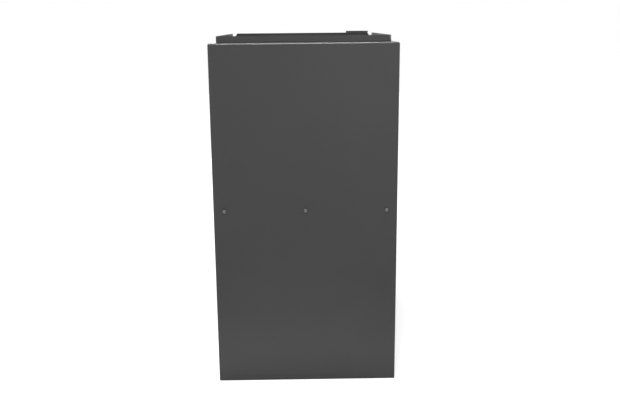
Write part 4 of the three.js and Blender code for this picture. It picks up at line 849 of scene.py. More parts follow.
@dataclass
class Cabinet:
    """Casing wrap with its folded top and duct flanges, floor pan, deck and front rail."""

    edge: float = 0.35 * MM
    knockout_radius: float = 11.0 * MM
    screw_head: float = 3.2 * MM
    relief: float = 0.4 * MM
    screw_from_edge: float = 30.0 * MM
    screw_gap: float = 160.0 * MM
    screw_height: float = 20.0 * MM
    screws: int = 5
    knockout_from_edge: float = 75.0 * MM
    cable_height: float = 330.0 * MM
    gas_height: float = 755.0 * MM

    def build(self) -> None:
        """Builds and dresses every piece of the cabinet."""
        self.casing()
        for node in ("base_pan", "blower_deck", "front_rail", "vestibule_top",
                     "vestibule_panel"):
            dressed(node, self.edge)
        self.deck_screws()
        self.side_screws()
        self.knockouts()

    def casing(self) -> None:
        """Casing wrap, its edges rounded; its sides leave room for heads and pressed rings."""
        made = copied("casing_wrap", "casing")
        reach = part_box("casing_wrap")[1].x
        for vertex in made.data.vertices:
            vertex.co.x *= 1 - self.relief / reach
        soften(made, self.edge, 2, 50.0)
        finish_piece(made, Finish.ENAMEL, "cabinet", ["casing_wrap"])

    def deck_screws(self) -> None:
        """Three hex-washer screws that hold the blower deck's fold to the back panel."""
        for name in ("left", "middle", "right"):
            node = f"deck_screw_{name}"
            low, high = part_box(node)
            screw = HexScrew((low + high) / 2, max(high.x - low.x, high.z - low.z) / 2,
                             low.y, high.y)
            made = new_object(f"hex_screw_{name}", screw.build)
            smooth(made, 35.0)
            finish_piece(made, Finish.PLATED, "cabinet", [node])

    def side_screws(self) -> None:
        """Row of small screws along the foot of both sides, into the floor pan."""
        low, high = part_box("casing_wrap")
        for side, name in ((-1, "left"), (1, "right")):
            wall = low.x if side < 0 else high.x
            profile = [(0.0, 0.0), (0.7 * self.screw_head, -0.05 * MM),
                       (self.screw_head, -0.45 * MM), (0.0, -0.9 * MM)]
            head = new_object("screw head", lambda work: add_turned(
                work, profile, Matrix.Identity(4), 16))
            turn = facing((side, 0, 0), (wall, low.y + self.screw_from_edge, self.screw_height))
            step = turn.inverted().to_3x3() @ Vector((0, self.screw_gap, 0))
            row = repeated(f"side_screws_{name}", ROW, head, Finish.ENAMEL,
                           turn, Count=self.screws, Step=step)
            finish_piece(row, Finish.ENAMEL, "cabinet")

    def knockouts(self) -> None:
        """Pressed rings of the cable and gas-pipe knock-outs in both sides."""
        low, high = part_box("casing_wrap")
        for side, name in ((-1, "left"), (1, "right")):
            wall = low.x if side < 0 else high.x
            for label, height, radius in (("cable", self.cable_height, self.knockout_radius),
                                          ("gas", self.gas_height, 1.5 * self.knockout_radius)):
                place = facing((side, 0, 0), (wall, low.y + self.knockout_from_edge, height))
                rim = [(radius - 1.4 * MM, -0.5 * MM), (radius - 0.8 * MM, -0.03 * MM),
                       (radius + 0.8 * MM, -0.03 * MM), (radius + 1.4 * MM, -0.5 * MM)]
                turned_piece(f"{label}_knockout_{name}", rim, place, 40, Finish.ENAMEL,
                             "cabinet", angle=60.0)


@dataclass
class HexScrew:
    """Hex-washer screw head that points out of the back panel, along +Y."""

    middle: Vector
    washer: float
    root: float
    crown: float
    across_flats: float = 8.0 * MM
    washer_thick: float = 1.1 * MM

    def build(self, work: bmesh.types.BMesh) -> None:
        """Adds the washer, the chamfered hexagon and its dished top.

        Args:
            work: The bmesh that takes the head.
        """
        place = Matrix.Translation((self.middle.x, 0, self.middle.z)) @ Matrix.Rotation(
            math.radians(-90), 4, "X")
        add_turned(work, [(0.0, self.root), (self.washer * 0.96, self.root),
                          (self.washer, self.root + 0.3 * MM),
                          (self.washer * 0.97, self.root + self.washer_thick * 0.8),
                          (self.washer * 0.8, self.root + self.washer_thick),
                          (0.0, self.root + self.washer_thick)], place, 36)
        corner = self.across_flats / math.sqrt(3)
        base = self.root + self.washer_thick * 0.9
        add_turned(work, [(0.0, base), (corner, base), (corner, self.crown - 0.9 * MM),
                          (corner * 0.86, self.crown - 0.25 * MM),
                          (corner * 0.7, self.crown), (corner * 0.45, self.crown - 0.5 * MM),
                          (0.0, self.crown - 0.6 * MM)], place, 6)


def dressed(node: str, edge: float, finish: Optional[Finish] = None,
            angle: float = 30.0) -> bpy.types.Object:
    """Replaces a CAD node by a copy with rounded edges, even flats and its own finish.

    Args:
        node: The CAD node.
        edge: Width of the rounding in metres.
        finish: Its finish, or None for the one that its slot names.
        angle: Edges that turn by more than this many degrees are rounded.

    Returns:
        The dressed piece.
    """
    made = copied(node, f"{node}_dressed")
    soften(made, edge, 2, angle)
    slot = slot_of(node)
    return finish_piece(made, finish or SLOTS[slot], body_of(node), [node])


ROW = row_tree()
RING = ring_tree()


def turned_piece(name: str, profile: Profile, place: Matrix, steps: int, finish: Finish,
                 body: str, nodes: Iterable[str] = (),
                 angle: float = 30.0) -> bpy.types.Object:
    """Builds and dresses one turned piece.

    Args:
        name: Name of the piece.
        profile: (radius, height) pairs from one end to the other.
        place: Where the shape's own frame goes.
        steps: Faces round it.
        finish: Its finish.
        body: The CAD body that it rides on.
        nodes: CAD nodes that it stands for.
        angle: Edges that turn by more than this many degrees stay sharp.

    Returns:
        The piece.
    """
    made = new_object(name, lambda work: add_turned(work, profile, place, steps))
    smooth(made, angle)
    return finish_piece(made, finish, body, nodes)


def ring_of_boxes(name: str, low: Point, high: Point, place: Matrix, count: int,
                  finish: Finish) -> bpy.types.Object:
    """Repeats one small box round the Z axis of a place.

    Args:
        name: Name of the result.
        low: Lowest corner of the first box.
        high: Its highest corner.
        place: Where the ring's own frame goes.
        count: How many boxes.
        finish: Their finish.

    Returns:
        The object, as a plain mesh.
    """
    one = new_object("one box", lambda work: add_box(work, low, high))
    return repeated(name, RING, one, finish, place, Count=count, Radius=ON_AXIS)


def tube(name: str, points: Sequence[Point], radius: float, bend: float, sides: int = 20,
         bore: float = 0.0, steps: int = 8) -> bpy.types.Object:
    """Builds a closed pipe or hose along a route with round bends.

    Args:
        name: Name of the object.
        points: Corners of the route, in metres.
        radius: Outer radius.
        bend: Radius of each bend's centre line.
        sides: Faces round the pipe.
        bore: Radius of the bore, or 0 for a solid section.
        steps: Steps in each bend.

    Returns:
        The object.
    """
    path = rounded_route(points, bend, steps)

    def build(work: bmesh.types.BMesh) -> None:
        """Sweeps the section along the path with no twist.

        Args:
            work: The bmesh that takes it.
        """
        across = Vector((0, 0, 1)) if abs((path[1] - path[0]).normalized().z) < 0.9 else \
            Vector((1, 0, 0))
        outer, inner = [], []
        for index, point in enumerate(path):
            before, after = path[max(index - 1, 0)], path[min(index + 1, len(path) - 1)]
            along = (after - before).normalized()
            across = (across - along * across.dot(along)).normalized()
            side = along.cross(across)
            ring, core = [], []
            for step in range(sides):
                angle = math.tau * step / sides
                out = across * math.cos(angle) + side * math.sin(angle)
                ring.append(work.verts.new(point + out * radius))
                if bore:
                    core.append(work.verts.new(point + out * bore))
            outer.append(ring)
            inner.append(core)
        for skin in ([outer, inner] if bore else [outer]):
            for near, far in zip(skin, skin[1:]):
                for step in range(sides):
                    after = (step + 1) % sides
                    work.faces.new([near[step], near[after], far[after], far[step]])
        for end in (0, -1):
            if not bore:
                work.faces.new(outer[end])
                continue
            for step in range(sides):
                after = (step + 1) % sides
                work.faces.new([outer[end][step], outer[end][after], inner[end][after],
                                inner[end][step]])

    made = new_object(name, build)
    smooth(made, 50.0)
    return made


def rounded_route(points: Sequence[Point], bend: float, steps: int) -> List[Vector]:
    """Points of a route whose corners are rounded to arcs.

    Args:
        points: Corners of the route.
        bend: Radius of the arcs.
        steps: Steps in each arc.

    Returns:
        The points from one end to the other.
    """
    corners_of = [Vector(point) for point in points]
    path = [corners_of[0]]
    for before, corner, after in zip(corners_of, corners_of[1:], corners_of[2:]):
        into, out = (corner - before).normalized(), (after - corner).normalized()
        turn = into.angle(out)
        if turn < 1e-4:
            continue
        cut = bend * math.tan(turn / 2)
        start = corner - into * cut
        middle = start + (out - into * into.dot(out)).normalized() * bend
        spoke = start - middle
        axis = into.cross(out).normalized()
        for step in range(steps + 1):
            path.append(middle + Matrix.Rotation(turn * step / steps, 3, axis) @ spoke)
    path.append(corners_of[-1])
    return path


# ---- Heat exchanger ----

@dataclass
class HeatExchanger:
    """Bent primary tubes, finned secondary block and the sheet boxes that join them."""

    tube_radius: float = 22.0 * MM
    wall: float = 1.5 * MM
    fin_step: float = 2.6 * MM
    fin_thick: float = 0.35 * MM
    pipe_radius: float = 9.0 * MM
    plate: float = 1.5 * MM
    lip: float = 14.0 * MM
    fin_inset: float = 3.0 * MM
    fin_margin: float = 17.0 * MM
    columns: int = 6
    rows: int = 2
    edge: float = 0.5 * MM

    def build(self) -> None:
        """Builds and dresses the exchanger."""
        for number in (1, 2, 3):
            self.primary(f"exchanger_tube_{number}")
        self.secondary()
        for node in ("rear_coupling_box", "collector_header"):
            dressed(node, self.edge)

    def primary(self, node: str) -> None:
        """One primary tube: three passes with two round bends.

        Args:
            node: The CAD node that it stands for.
        """
        low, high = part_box(node)
        middle = (low.x + high.x) / 2
        top, bottom = high.z - self.tube_radius, low.z + self.tube_radius
        pitch = (top - bottom) / 2
        half = pitch / 2
        rear = high.y - self.tube_radius
        front = low.y + 50.0 * MM
        box_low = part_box("rear_coupling_box")[0]
        route = [(middle, low.y, top), (middle, rear, top), (middle, rear, top - pitch),
                 (middle, front, top - pitch), (middle, front, bottom),
                 (middle, box_low.y - 0.3 * MM, bottom)]
        made = tube(f"{node}_smooth", route, self.tube_radius * 0.975, half * 0.999, 28,
                    self.tube_radius * 0.975 - self.wall, 12)
        finish_piece(made, Finish.ALUMINISED, "cabinet", [node])

    def secondary(self) -> None:
        """Finned block: end plates, a stack of thin fins and the pipes through them."""
        low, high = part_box("finned_exchanger")
        plate, inset = self.plate, self.fin_inset

        def plates(work: bmesh.types.BMesh) -> None:
            """Adds the two end plates with their folded lips.

            Args:
                work: The bmesh that takes it.
            """
            for near, far in ((low.y, low.y + plate), (high.y - plate, high.y)):
                add_box(work, (low.x, near, low.z), (high.x, far, high.z))
            for near, far in ((low.z, low.z + plate), (high.z - plate, high.z)):
                for start, end in ((low.y + plate, low.y + self.lip),
                                   (high.y - self.lip, high.y - plate)):
                    add_box(work, (low.x, start, near), (high.x, end, far))

        frame_plates = new_object("finned_block_plates", plates)
        soften(frame_plates, 0.3 * MM, 1)
        finish_piece(frame_plates, Finish.ALUMINISED, "cabinet",
                     ["finned_exchanger"])
        count = int((high.y - low.y - 2 * self.fin_margin) / self.fin_step)
        fin = new_object("one fin", lambda work: add_box(
            work, (low.x + inset, 0, low.z + inset),
            (high.x - inset, self.fin_thick, high.z - inset)))
        fins = repeated("finned_block_fins", ROW, fin, Finish.ALUMINIUM,
                        Matrix.Translation((0, low.y + self.fin_margin, 0)), Count=count,
                        Step=(0.0, self.fin_step, 0.0))
        finish_piece(fins, Finish.ALUMINIUM, "cabinet")

        def pipes(work: bmesh.types.BMesh) -> None:
            """Adds the rows of pipes that carry the flue gas through the fins.

            Args:
                work: The bmesh that takes it.
            """
            for row in range(self.rows):
                for column in range(self.columns):
                    x = low.x + (column + 0.5 + 0.2 * (row % 2) - 0.1) * (
                        high.x - low.x) / self.columns
                    z = low.z + (row + 0.5) * (high.z - low.z) / self.rows
                    place = facing((0, 1, 0), (x, 0, z))
                    add_turned(work, [(self.pipe_radius * 0.86, low.y + 0.2 * MM),
                                      (self.pipe_radius, low.y + 0.2 * MM),
                                      (self.pipe_radius, high.y - 0.2 * MM),
                                      (self.pipe_radius * 0.86, high.y - 0.2 * MM)], place, 20)

        made = new_object("finned_block_pipes", pipes)
        smooth(made, 50.0)
        finish_piece(made, Finish.ALUMINISED, "cabinet")


# ---- Blower ----

@dataclass
class Blower:
    """Scroll housing, forward-curved wheel, motor with its vents and the band mount."""

    blades: int = 46
    blade_chord: float = 17.0 * MM
    blade_thick: float = 0.7 * MM
    ring_width: float = 4.0 * MM
    ring_thick: float = 1.2 * MM
    vents: int = 20
    vent_half: float = 1.6 * MM

    def build(self) -> None:
        """Builds and dresses the blower."""
        for node in ("blower_housing", "motor_mount"):
            dressed(node, 0.5 * MM)
        dressed("blower_shaft", 0.4 * MM, Finish.PLATED)
        self.wheel()
        self.motor()

    def wheel(self) -> None:
        """The wheel: two end rings, a middle web with a hub, and curved blades."""
        low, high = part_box("blower_wheel")
        centre = (low + high) / 2
        radius = (high.z - low.z) / 2
        inner = radius - self.blade_chord
        half = (high.x - low.x) / 2
        place = facing((1, 0, 0), (centre.x, centre.y, centre.z))

        def hub(work: bmesh.types.BMesh) -> None:
            """Adds the rolled rings, the dished web and the hub, open for the shaft.

            Args:
                work: The bmesh that takes it.
            """
            for side in (-1, 1):
                edge = side * half
                add_turned(work, [(inner, edge), (radius, edge),
                                  (radius, edge - side * self.ring_width),
                                  (radius - self.ring_thick, edge - side * self.ring_width),
                                  (radius - self.ring_thick, edge - side * self.ring_thick),
                                  (inner, edge - side * self.ring_thick)], place, 72)
            add_turned(work, [(6.5 * MM, -8 * MM), (13 * MM, -8 * MM), (13 * MM, -2 * MM),
                              (40 * MM, -1.4 * MM), (60 * MM, 1.6 * MM), (radius, 1.2 * MM),
                              (radius, -0.2 * MM), (60 * MM, 0.2 * MM), (40 * MM, -2.8 * MM),
                              (15 * MM, -3.2 * MM), (20 * MM, 9 * MM), (6.5 * MM, 9 * MM)],
                       place, 72)

        ends = new_object("wheel_rings_and_web", hub)
        smooth(ends, 35.0)
        finish_piece(ends, Finish.ZINC, "blower_rotor",
                     ["blower_wheel"])

        def blade(work: bmesh.types.BMesh) -> None:
            """Adds one forward-curved blade, from the inner edge to the outer.

            Args:
                work: The bmesh that takes it.
            """
            outline = []
            for step in range(6):
                share = step / 5
                reach = inner + share * (self.blade_chord - self.blade_thick)
                lean = 0.055 * math.sin(math.pi * share * 0.9)
                outline.append((reach * math.cos(lean), reach * math.sin(lean)))
            skins = []
            for z in (-half + self.ring_thick, half - self.ring_thick):
                front = [work.verts.new((x, y, z)) for x, y in outline]
                back = [work.verts.new((x, y + self.blade_thick, z)) for x, y in outline]
                skins.append(front + back[::-1])
            count = len(skins[0])
            for step in range(count):
                after = (step + 1) % count
                work.faces.new([skins[0][step], skins[0][after], skins[1][after],
                                skins[1][step]])
            for skin in skins:
                for step in range(len(outline) - 1):
                    work.faces.new([skin[step], skin[step + 1], skin[count - 2 - step],
                                    skin[count - 1 - step]])

        one = new_object("one blade", blade)
        blades = repeated("wheel_blades", RING, one, Finish.ZINC, place, Count=self.blades,
                          Radius=ON_AXIS)
        finish_piece(blades, Finish.ZINC, "blower_rotor")

    def motor(self) -> None:
        """Motor shell with its vent slots."""
        low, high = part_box("blower_motor")
        shell = drawn_back("blower_motor", "x", high.x)
        soften(shell, 0.8 * MM)
        finish_piece(shell, SLOTS[slot_of("blower_motor")], "cabinet",
                     ["blower_motor"])
        centre = (low + high) / 2
        radius = (high.z - low.z) / 2
        vents = ring_of_boxes("motor_vents", (radius * 0.45, -self.vent_half, 0.1 * MM),
                              (radius * 0.75, self.vent_half, 0.8 * MM),
                              facing((1, 0, 0), (low.x, centre.y, centre.z)), self.vents,
                              Finish.BLACK_PLASTIC)
        finish_piece(vents, Finish.BLACK_PLASTIC, "cabinet")


# ---- Doors ----

@dataclass
class Doors:
    """Two lift-off doors with their knobs, sight glass and foil-faced liner."""

    edge: float = 0.8 * MM
    grip_lobes: int = 6
    grip_depth: float = 1.6 * MM
    stem_radius: float = 4.0 * MM

    def build(self) -> None:
        """Builds and dresses the doors and what rides on them."""
        for node in ("upper_door", "lower_door"):
            made = copied(node, f"{node}_panel")
            soften(made, self.edge, 3, 50.0)
            finish_piece(made, Finish.ENAMEL, body_of(node), [node])
        for place in ("upper", "lower"):
            for side in ("left", "right"):
                self.knob(place, side)
        dressed("sight_glass", 0.3 * MM)
        self.sight_rim()
        dressed("lower_door_liner", 1.5 * MM)

    def knob(self, place: str, side: str) -> None:
        """One moulded quarter-turn knob with its grip lobes, dished face and plated stem.

        Args:
            place: "upper" or "lower".
            side: "left" or "right".
        """
        node = f"{place}_door_knob_{side}"
        low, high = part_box(node)
        centre = (low + high) / 2
        radius = (high.x - low.x) / 2
        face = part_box(f"{place}_door")[0].y
        proud = face - low.y
        turn = facing((0, -1, 0), (centre.x, face, centre.z))
        stem = self.stem_radius
        deep = high.y - face

        def build(work: bmesh.types.BMesh) -> None:
            """Adds the grip and its dished face.

            Args:
                work: The bmesh that takes it.
            """
            add_turned(work, [(0.0, 0.2 * MM), (radius * 0.9, 0.2 * MM),
                              (radius, 1.4 * MM), (radius, proud - 2.0 * MM),
                              (radius * 0.95, proud - 0.7 * MM), (radius * 0.84, proud),
                              (radius * 0.6, proud - 0.1 * MM), (radius * 0.5, proud - 1.4 * MM),
                              (0.0, proud - 1.7 * MM)], turn, 72, self.grip_lobes,
                       self.grip_depth)

        grip = new_object(f"{place}_knob_{side}_grip", build)
        smooth(grip, 30.0)
        finish_piece(grip, Finish.BLACK_PLASTIC, body_of(node), [node])
        turned_piece(f"{place}_knob_{side}_stem",
                     [(0.0, -deep), (stem * 0.75, -deep), (stem, -deep + 1.2 * MM),
                      (stem, 0.1 * MM), (0.0, 0.1 * MM)],
                     turn, 24, Finish.PLATED, body_of(node))

    def sight_rim(self) -> None:
        """Rolled rim round the sight glass."""
        low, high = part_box("sight_glass")
        centre = (low + high) / 2
        radius = (high.x - low.x) / 2
        turned_piece("sight_glass_rim",
                     [(radius * 0.86, 0.0), (radius * 0.99, 0.0), (radius * 0.99, 0.25 * MM),
                      (radius * 0.95, 0.45 * MM), (radius * 0.88, 0.3 * MM)],
                     facing((0, -1, 0), (centre.x, low.y + 0.5 * MM, centre.z)), 48,
                     Finish.RUBBER, body_of("sight_glass"), angle=40.0)


# ---- Flue, inducer and condensate ----

@dataclass
class Flue:
    """Draught inducer, vent pipe with its collar, air inlet ring, hoses and trap."""

    edge: float = 0.8 * MM
    impeller_ribs: int = 16
    clamp_width: float = 9.0 * MM
    clamp_height: float = 7.2 * MM
    collar_bore: float = 30.3 * MM
    collar_neck: float = 33.0 * MM
    cover_slots: int = 14
    cover_slot_half: float = 1.2 * MM
    hose_radius: float = 3.6 * MM
    hose_bend: float = 12.0 * MM

    def build(self) -> None:
        """Builds and dresses the flue side."""
        dressed("inducer_housing", self.edge)
        dressed("condensate_trap", self.edge)
        dressed("vent_pipe", 0.4 * MM)
        self.collar()
        self.inlet_ring()
        self.impeller()
        self.motor()
        self.hoses()

    def collar(self) -> None:
        """Rubber vent collar: flange, beaded neck and the metal band round it."""
        low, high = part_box("vent_collar")
        centre = ((low.x + high.x) / 2, (low.y + high.y) / 2, low.z)
        flange = (high.x - low.x) / 2
        tall = high.z - low.z
        bore, neck, start = self.collar_bore, self.collar_neck, self.clamp_height
        place = Matrix.Translation(centre)
        turned_piece("vent_collar_ribbed",
                     [(bore, 0.2 * MM), (neck, 0.2 * MM), (neck, 1.1 * MM),
                      (flange - 0.5 * MM, 1.15 * MM), (flange, 1.8 * MM),
                      (flange - 0.6 * MM, 3.6 * MM), (neck + 1.4 * MM, 4.2 * MM),
                      (neck, 5.6 * MM), (neck, tall - 2.2 * MM),
                      (neck + 0.9 * MM, tall - 1.6 * MM), (neck + 0.7 * MM, tall - 0.2 * MM),
                      (neck - 0.6 * MM, tall), (bore + 0.5 * MM, tall),
                      (bore, tall - 0.6 * MM)],
                     place, 64, Finish.RUBBER, "cabinet",
                     ["vent_collar"])
        turned_piece("vent_collar_band",
                     [(neck + 0.05 * MM, start), (neck + 0.6 * MM, start + 0.2 * MM),
                      (neck + 0.6 * MM, start + self.clamp_width - 0.2 * MM),
                      (neck + 0.05 * MM, start + self.clamp_width)],
                     place, 64, Finish.ALUMINIUM, "cabinet")
        turned_piece("vent_collar_band_screw",
                     [(0.0, -6 * MM), (2.6 * MM, -6 * MM), (3.0 * MM, -5 * MM),
                      (3.0 * MM, 3 * MM), (3.8 * MM, 3.2 * MM), (3.8 * MM, 5.4 * MM),
                      (2.6 * MM, 6 * MM), (1.0 * MM, 5.0 * MM), (0.0, 5.0 * MM)],
                     facing((1, 0, 0), (centre[0], centre[1] - neck - 2.2 * MM,
                                        centre[2] + start + self.clamp_width / 2)),
                     20, Finish.PLATED, "cabinet")

    def inlet_ring(self) -> None:
        """Combustion-air inlet ring in the top plate, its edges rounded."""
        made = copied("air_inlet_ring", "air_inlet_ring_moulded")
        soften(made, self.edge, 3)
        finish_piece(made, Finish.DARK_PLASTIC, "cabinet",
                     ["air_inlet_ring"])

    def impeller(self) -> None:
        """Inducer impeller on its solid's form, with a ring of small ribs."""
        low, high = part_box("inducer_wheel")
        centre = (low + high) / 2
        radius = (high.x - low.x) / 2
        deep = high.y - low.y
        place = facing((0, 1, 0), (centre.x, low.y, centre.z))
        dressed("inducer_wheel", 0.4 * MM)
        ribs = ring_of_boxes("impeller_ribs", (radius * 0.3, -0.5 * MM, deep * 0.55),
                             (radius * 0.55, 0.5 * MM, deep * 0.62), place,
                             self.impeller_ribs, Finish.ALUMINIUM)
        finish_piece(ribs, Finish.ALUMINIUM, "inducer_rotor")

    def motor(self) -> None:
        """Inducer motor with the slots of its cooling cover."""
        low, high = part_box("inducer_motor")
        shell = drawn_back("inducer_motor", "y", high.y)
        soften(shell, self.edge)
        finish_piece(shell, SLOTS[slot_of("inducer_motor")], "cabinet",
                     ["inducer_motor"])
        centre = (low + high) / 2
        radius = (high.x - low.x) / 2
        slots = ring_of_boxes("inducer_motor_slots",
                              (radius * 0.34, -self.cover_slot_half, 0.1 * MM),
                              (radius * 0.5, self.cover_slot_half, 0.8 * MM),
                              facing((0, 1, 0), (centre.x, low.y, centre.z)),
                              self.cover_slots, Finish.BLACK_PLASTIC)
        finish_piece(slots, Finish.BLACK_PLASTIC, "cabinet")

    def hoses(self) -> None:
        """Round pressure hose and drain hose on their CAD routes."""
        low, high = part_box("pressure_hose")
        radius = self.hose_radius
        route = [(high.x - radius, low.y + radius, high.z),
                 (high.x - radius, low.y + radius, low.z + radius),
                 (low.x, low.y + radius, low.z + radius)]
        made = tube("pressure_hose_round", route, radius * 0.97, self.hose_bend, 20,
                    radius * 0.45, 10)
        finish_piece(made, Finish.SILICONE, "cabinet",
                     ["pressure_hose"])
        made = copied("drain_hose", "drain_hose_round")
        rounder = made.modifiers.new("rounder", "SUBSURF")
        rounder.levels = rounder.render_levels = 1
        smooth(made, 60.0)
        finish_piece(made, Finish.RUBBER, "cabinet", ["drain_hose"])


# ---- Controls and gas ----

@dataclass
class Controls:
    """Gas valve, burners' manifold, control board, transformer and the wire harness."""

    edge: float = 0.5 * MM
    wires: Tuple[Finish, ...] = (Finish.WIRE_RED, Finish.WIRE_YELLOW, Finish.WIRE_BLUE,
                                 Finish.WIRE_WHITE, Finish.WIRE_BLACK, Finish.WIRE_RED,
                                 Finish.WIRE_YELLOW)
    wire_radius: float = 1.25 * MM
    bundle_radius: float = 3.1 * MM
    wire_bend: float = 18.0 * MM
    ties: int = 5
    first_tie: float = 50.0 * MM
    tie_margin: float = 80.0 * MM
    standoff: float = 8.1 * MM
    tallest_part: float = 15.5 * MM
    board_cells: int = 12
    coil_depth: float = 6.0 * MM
    coil_reach: float = 20.0 * MM
    knob_ribs: int = 24

    def build(self) -> None:
        """Builds and dresses the controls."""
        self.board()
        self.transformer()
        self.harness()
        self.valve_knob()
        for node in ("gas_valve", "gas_manifold", "burner_1", "burner_2", "burner_3",
                     "burner_bracket"):
            dressed(node, self.edge)

    def board(self) -> None:
        """Circuit board whose blocks and cans have their own finishes."""
        made = copied("control_board", "control_board_populated")
        soften(made, 0.25 * MM, 1)
        settle(made)
        low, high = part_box("control_board")
        order = (Finish.BOARD, Finish.BLACK_PLASTIC, Finish.WHITE_PLASTIC, Finish.ALUMINIUM,
                 Finish.PLATED)
        for finish in order:
            made.data.materials.append(finish.built)
        cell = (high.x - low.x) / self.board_cells
        for face in made.data.polygons:
            middle = face.center
            column, row = (middle.x - low.x) / cell, (middle.z - low.z) / cell
            if middle.y > high.y - self.standoff:
                finish = Finish.PLATED
            elif middle.y > low.y + self.tallest_part:
                finish = Finish.BOARD
            elif row < 1.3:
                finish = Finish.WHITE_PLASTIC
            elif 1.9 < row < 3.3 and column < 3.5:
                finish = Finish.ALUMINIUM
            else:
                finish = Finish.BLACK_PLASTIC
            face.material_index = order.index(finish)
        finish_piece(made, Finish.BOARD, "cabinet",
                     ["control_board"])

    def transformer(self) -> None:
        """Transformer: a dark core with a copper-coloured winding at its front."""
        made = copied("transformer", "transformer_wound")
        soften(made, 0.4 * MM, 1)
        settle(made)
        low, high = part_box("transformer")
        centre = (low + high) / 2
        for finish in (Finish.BLACK_PIPE, Finish.COPPER):
            made.data.materials.append(finish.built)
        for face in made.data.polygons:
            out = abs(face.center.y - low.y) < self.coil_depth
            near = max(abs(face.center.x - centre.x),
                       abs(face.center.z - centre.z)) < self.coil_reach
            face.material_index = 1 if out and near else 0
        finish_piece(made, Finish.BLACK_PIPE, "cabinet",
                     ["transformer"])

    def harness(self) -> None:
        """Bundle of coloured wires on the harness's CAD route, with ties on its upright run."""
        low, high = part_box("wire_harness")
        radius = (high.y - low.y) / 2 * 0.94
        bottom = low.z + radius
        across, depth = high.x - radius, (low.y + high.y) / 2
        route = [(low.x, 0.0, bottom), (across, 0.0, bottom), (across, 0.0, high.z)]
        offsets = [(0.0, 0.0)] + [(self.bundle_radius * 0.9 * math.cos(math.tau * k / 6),
                                   self.bundle_radius * 0.9 * math.sin(math.tau * k / 6))
                                  for k in range(6)]
        parts = []
        for number, ((side, out), finish) in enumerate(zip(offsets, self.wires)):
            path = [(x - side * (index > 0), depth + out, z + side * (index < 2))
                    for index, (x, _, z) in enumerate(route)]
            parts.append((tube(f"harness_wire_{number + 1}", path, self.wire_radius,
                               self.wire_bend - side, 10, 0.0, 8), finish))
        for number, (made, finish) in enumerate(parts):
            finish_piece(made, finish, "cabinet",
                         ["wire_harness"] if number == 0 else [])
        tie = new_object("one tie", lambda work: add_turned(
            work, [(radius * 0.9, -1.3 * MM), (radius * 0.98, -1.1 * MM),
                   (radius * 0.98, 1.1 * MM), (radius * 0.9, 1.3 * MM)],
            Matrix.Identity(4), 24))
        gap = (high.z - low.z - self.tie_margin) / self.ties
        ties = repeated("harness_ties", ROW, tie, Finish.BLACK_PLASTIC,
                        Matrix.Translation((across, depth, low.z + self.first_tie)),
                        Count=self.ties, Step=(0.0, 0.0, gap))
        finish_piece(ties, Finish.BLACK_PLASTIC, "cabinet")

    def valve_knob(self) -> None:
        """Gas valve's knob, with a ring of white marks on its face."""
        low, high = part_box("gas_valve_knob")
        centre = (low + high) / 2
        radius = (high.x - low.x) / 2
        deep = high.y - low.y
        place = facing((0, -1, 0), (centre.x, high.y, centre.z))
        dressed("gas_valve_knob", self.edge)
        ribs = ring_of_boxes("gas_valve_knob_ribs", (radius * 0.5, -0.35 * MM, deep * 0.99),
                             (radius * 0.72, 0.35 * MM, deep * 0.998), place,
                             self.knob_ribs, Finish.WHITE_PLASTIC)
        finish_piece(ribs, Finish.WHITE_PLASTIC, "gas_knob")


# ---- Pieces that only need their edges rounded ----

@dataclass
class Remaining:
    """The CAD nodes that are dressed as they are, with rounded edges."""

    edge: float = 0.4 * MM

    def build(self) -> None:
        """Dresses every node that no other class has built."""
        for node in frame["nodes"]:
            if node not in REPLACED:
                dressed(node, self.edge)


# ---- Studio ----

@dataclass(frozen=True)
class SoftBox:
    """Rectangular lamp: where it hangs, its size and power, and the place that it faces."""

    name: str
    at: Point
    size: Tuple[float, float]
    power: float
    aim: Point
    spread: float = 180.0

    def build(self) -> None:
        """Hangs the lamp in the studio."""
        lamp = bpy.data.lights.new(self.name, "AREA")
        lamp.shape = "RECTANGLE"
        lamp.size, lamp.size_y = self.size
        lamp.spread = math.radians(self.spread)
        lamp.energy = self.power
        made = bpy.data.objects.new(self.name, lamp)
        toward = Vector(self.aim) - Vector(self.at)
        made.matrix_world = (Matrix.Translation(self.at)
                             @ toward.to_track_quat("-Z", "Y").to_matrix().to_4x4())
        bpy.context.scene.collection.objects.link(made)


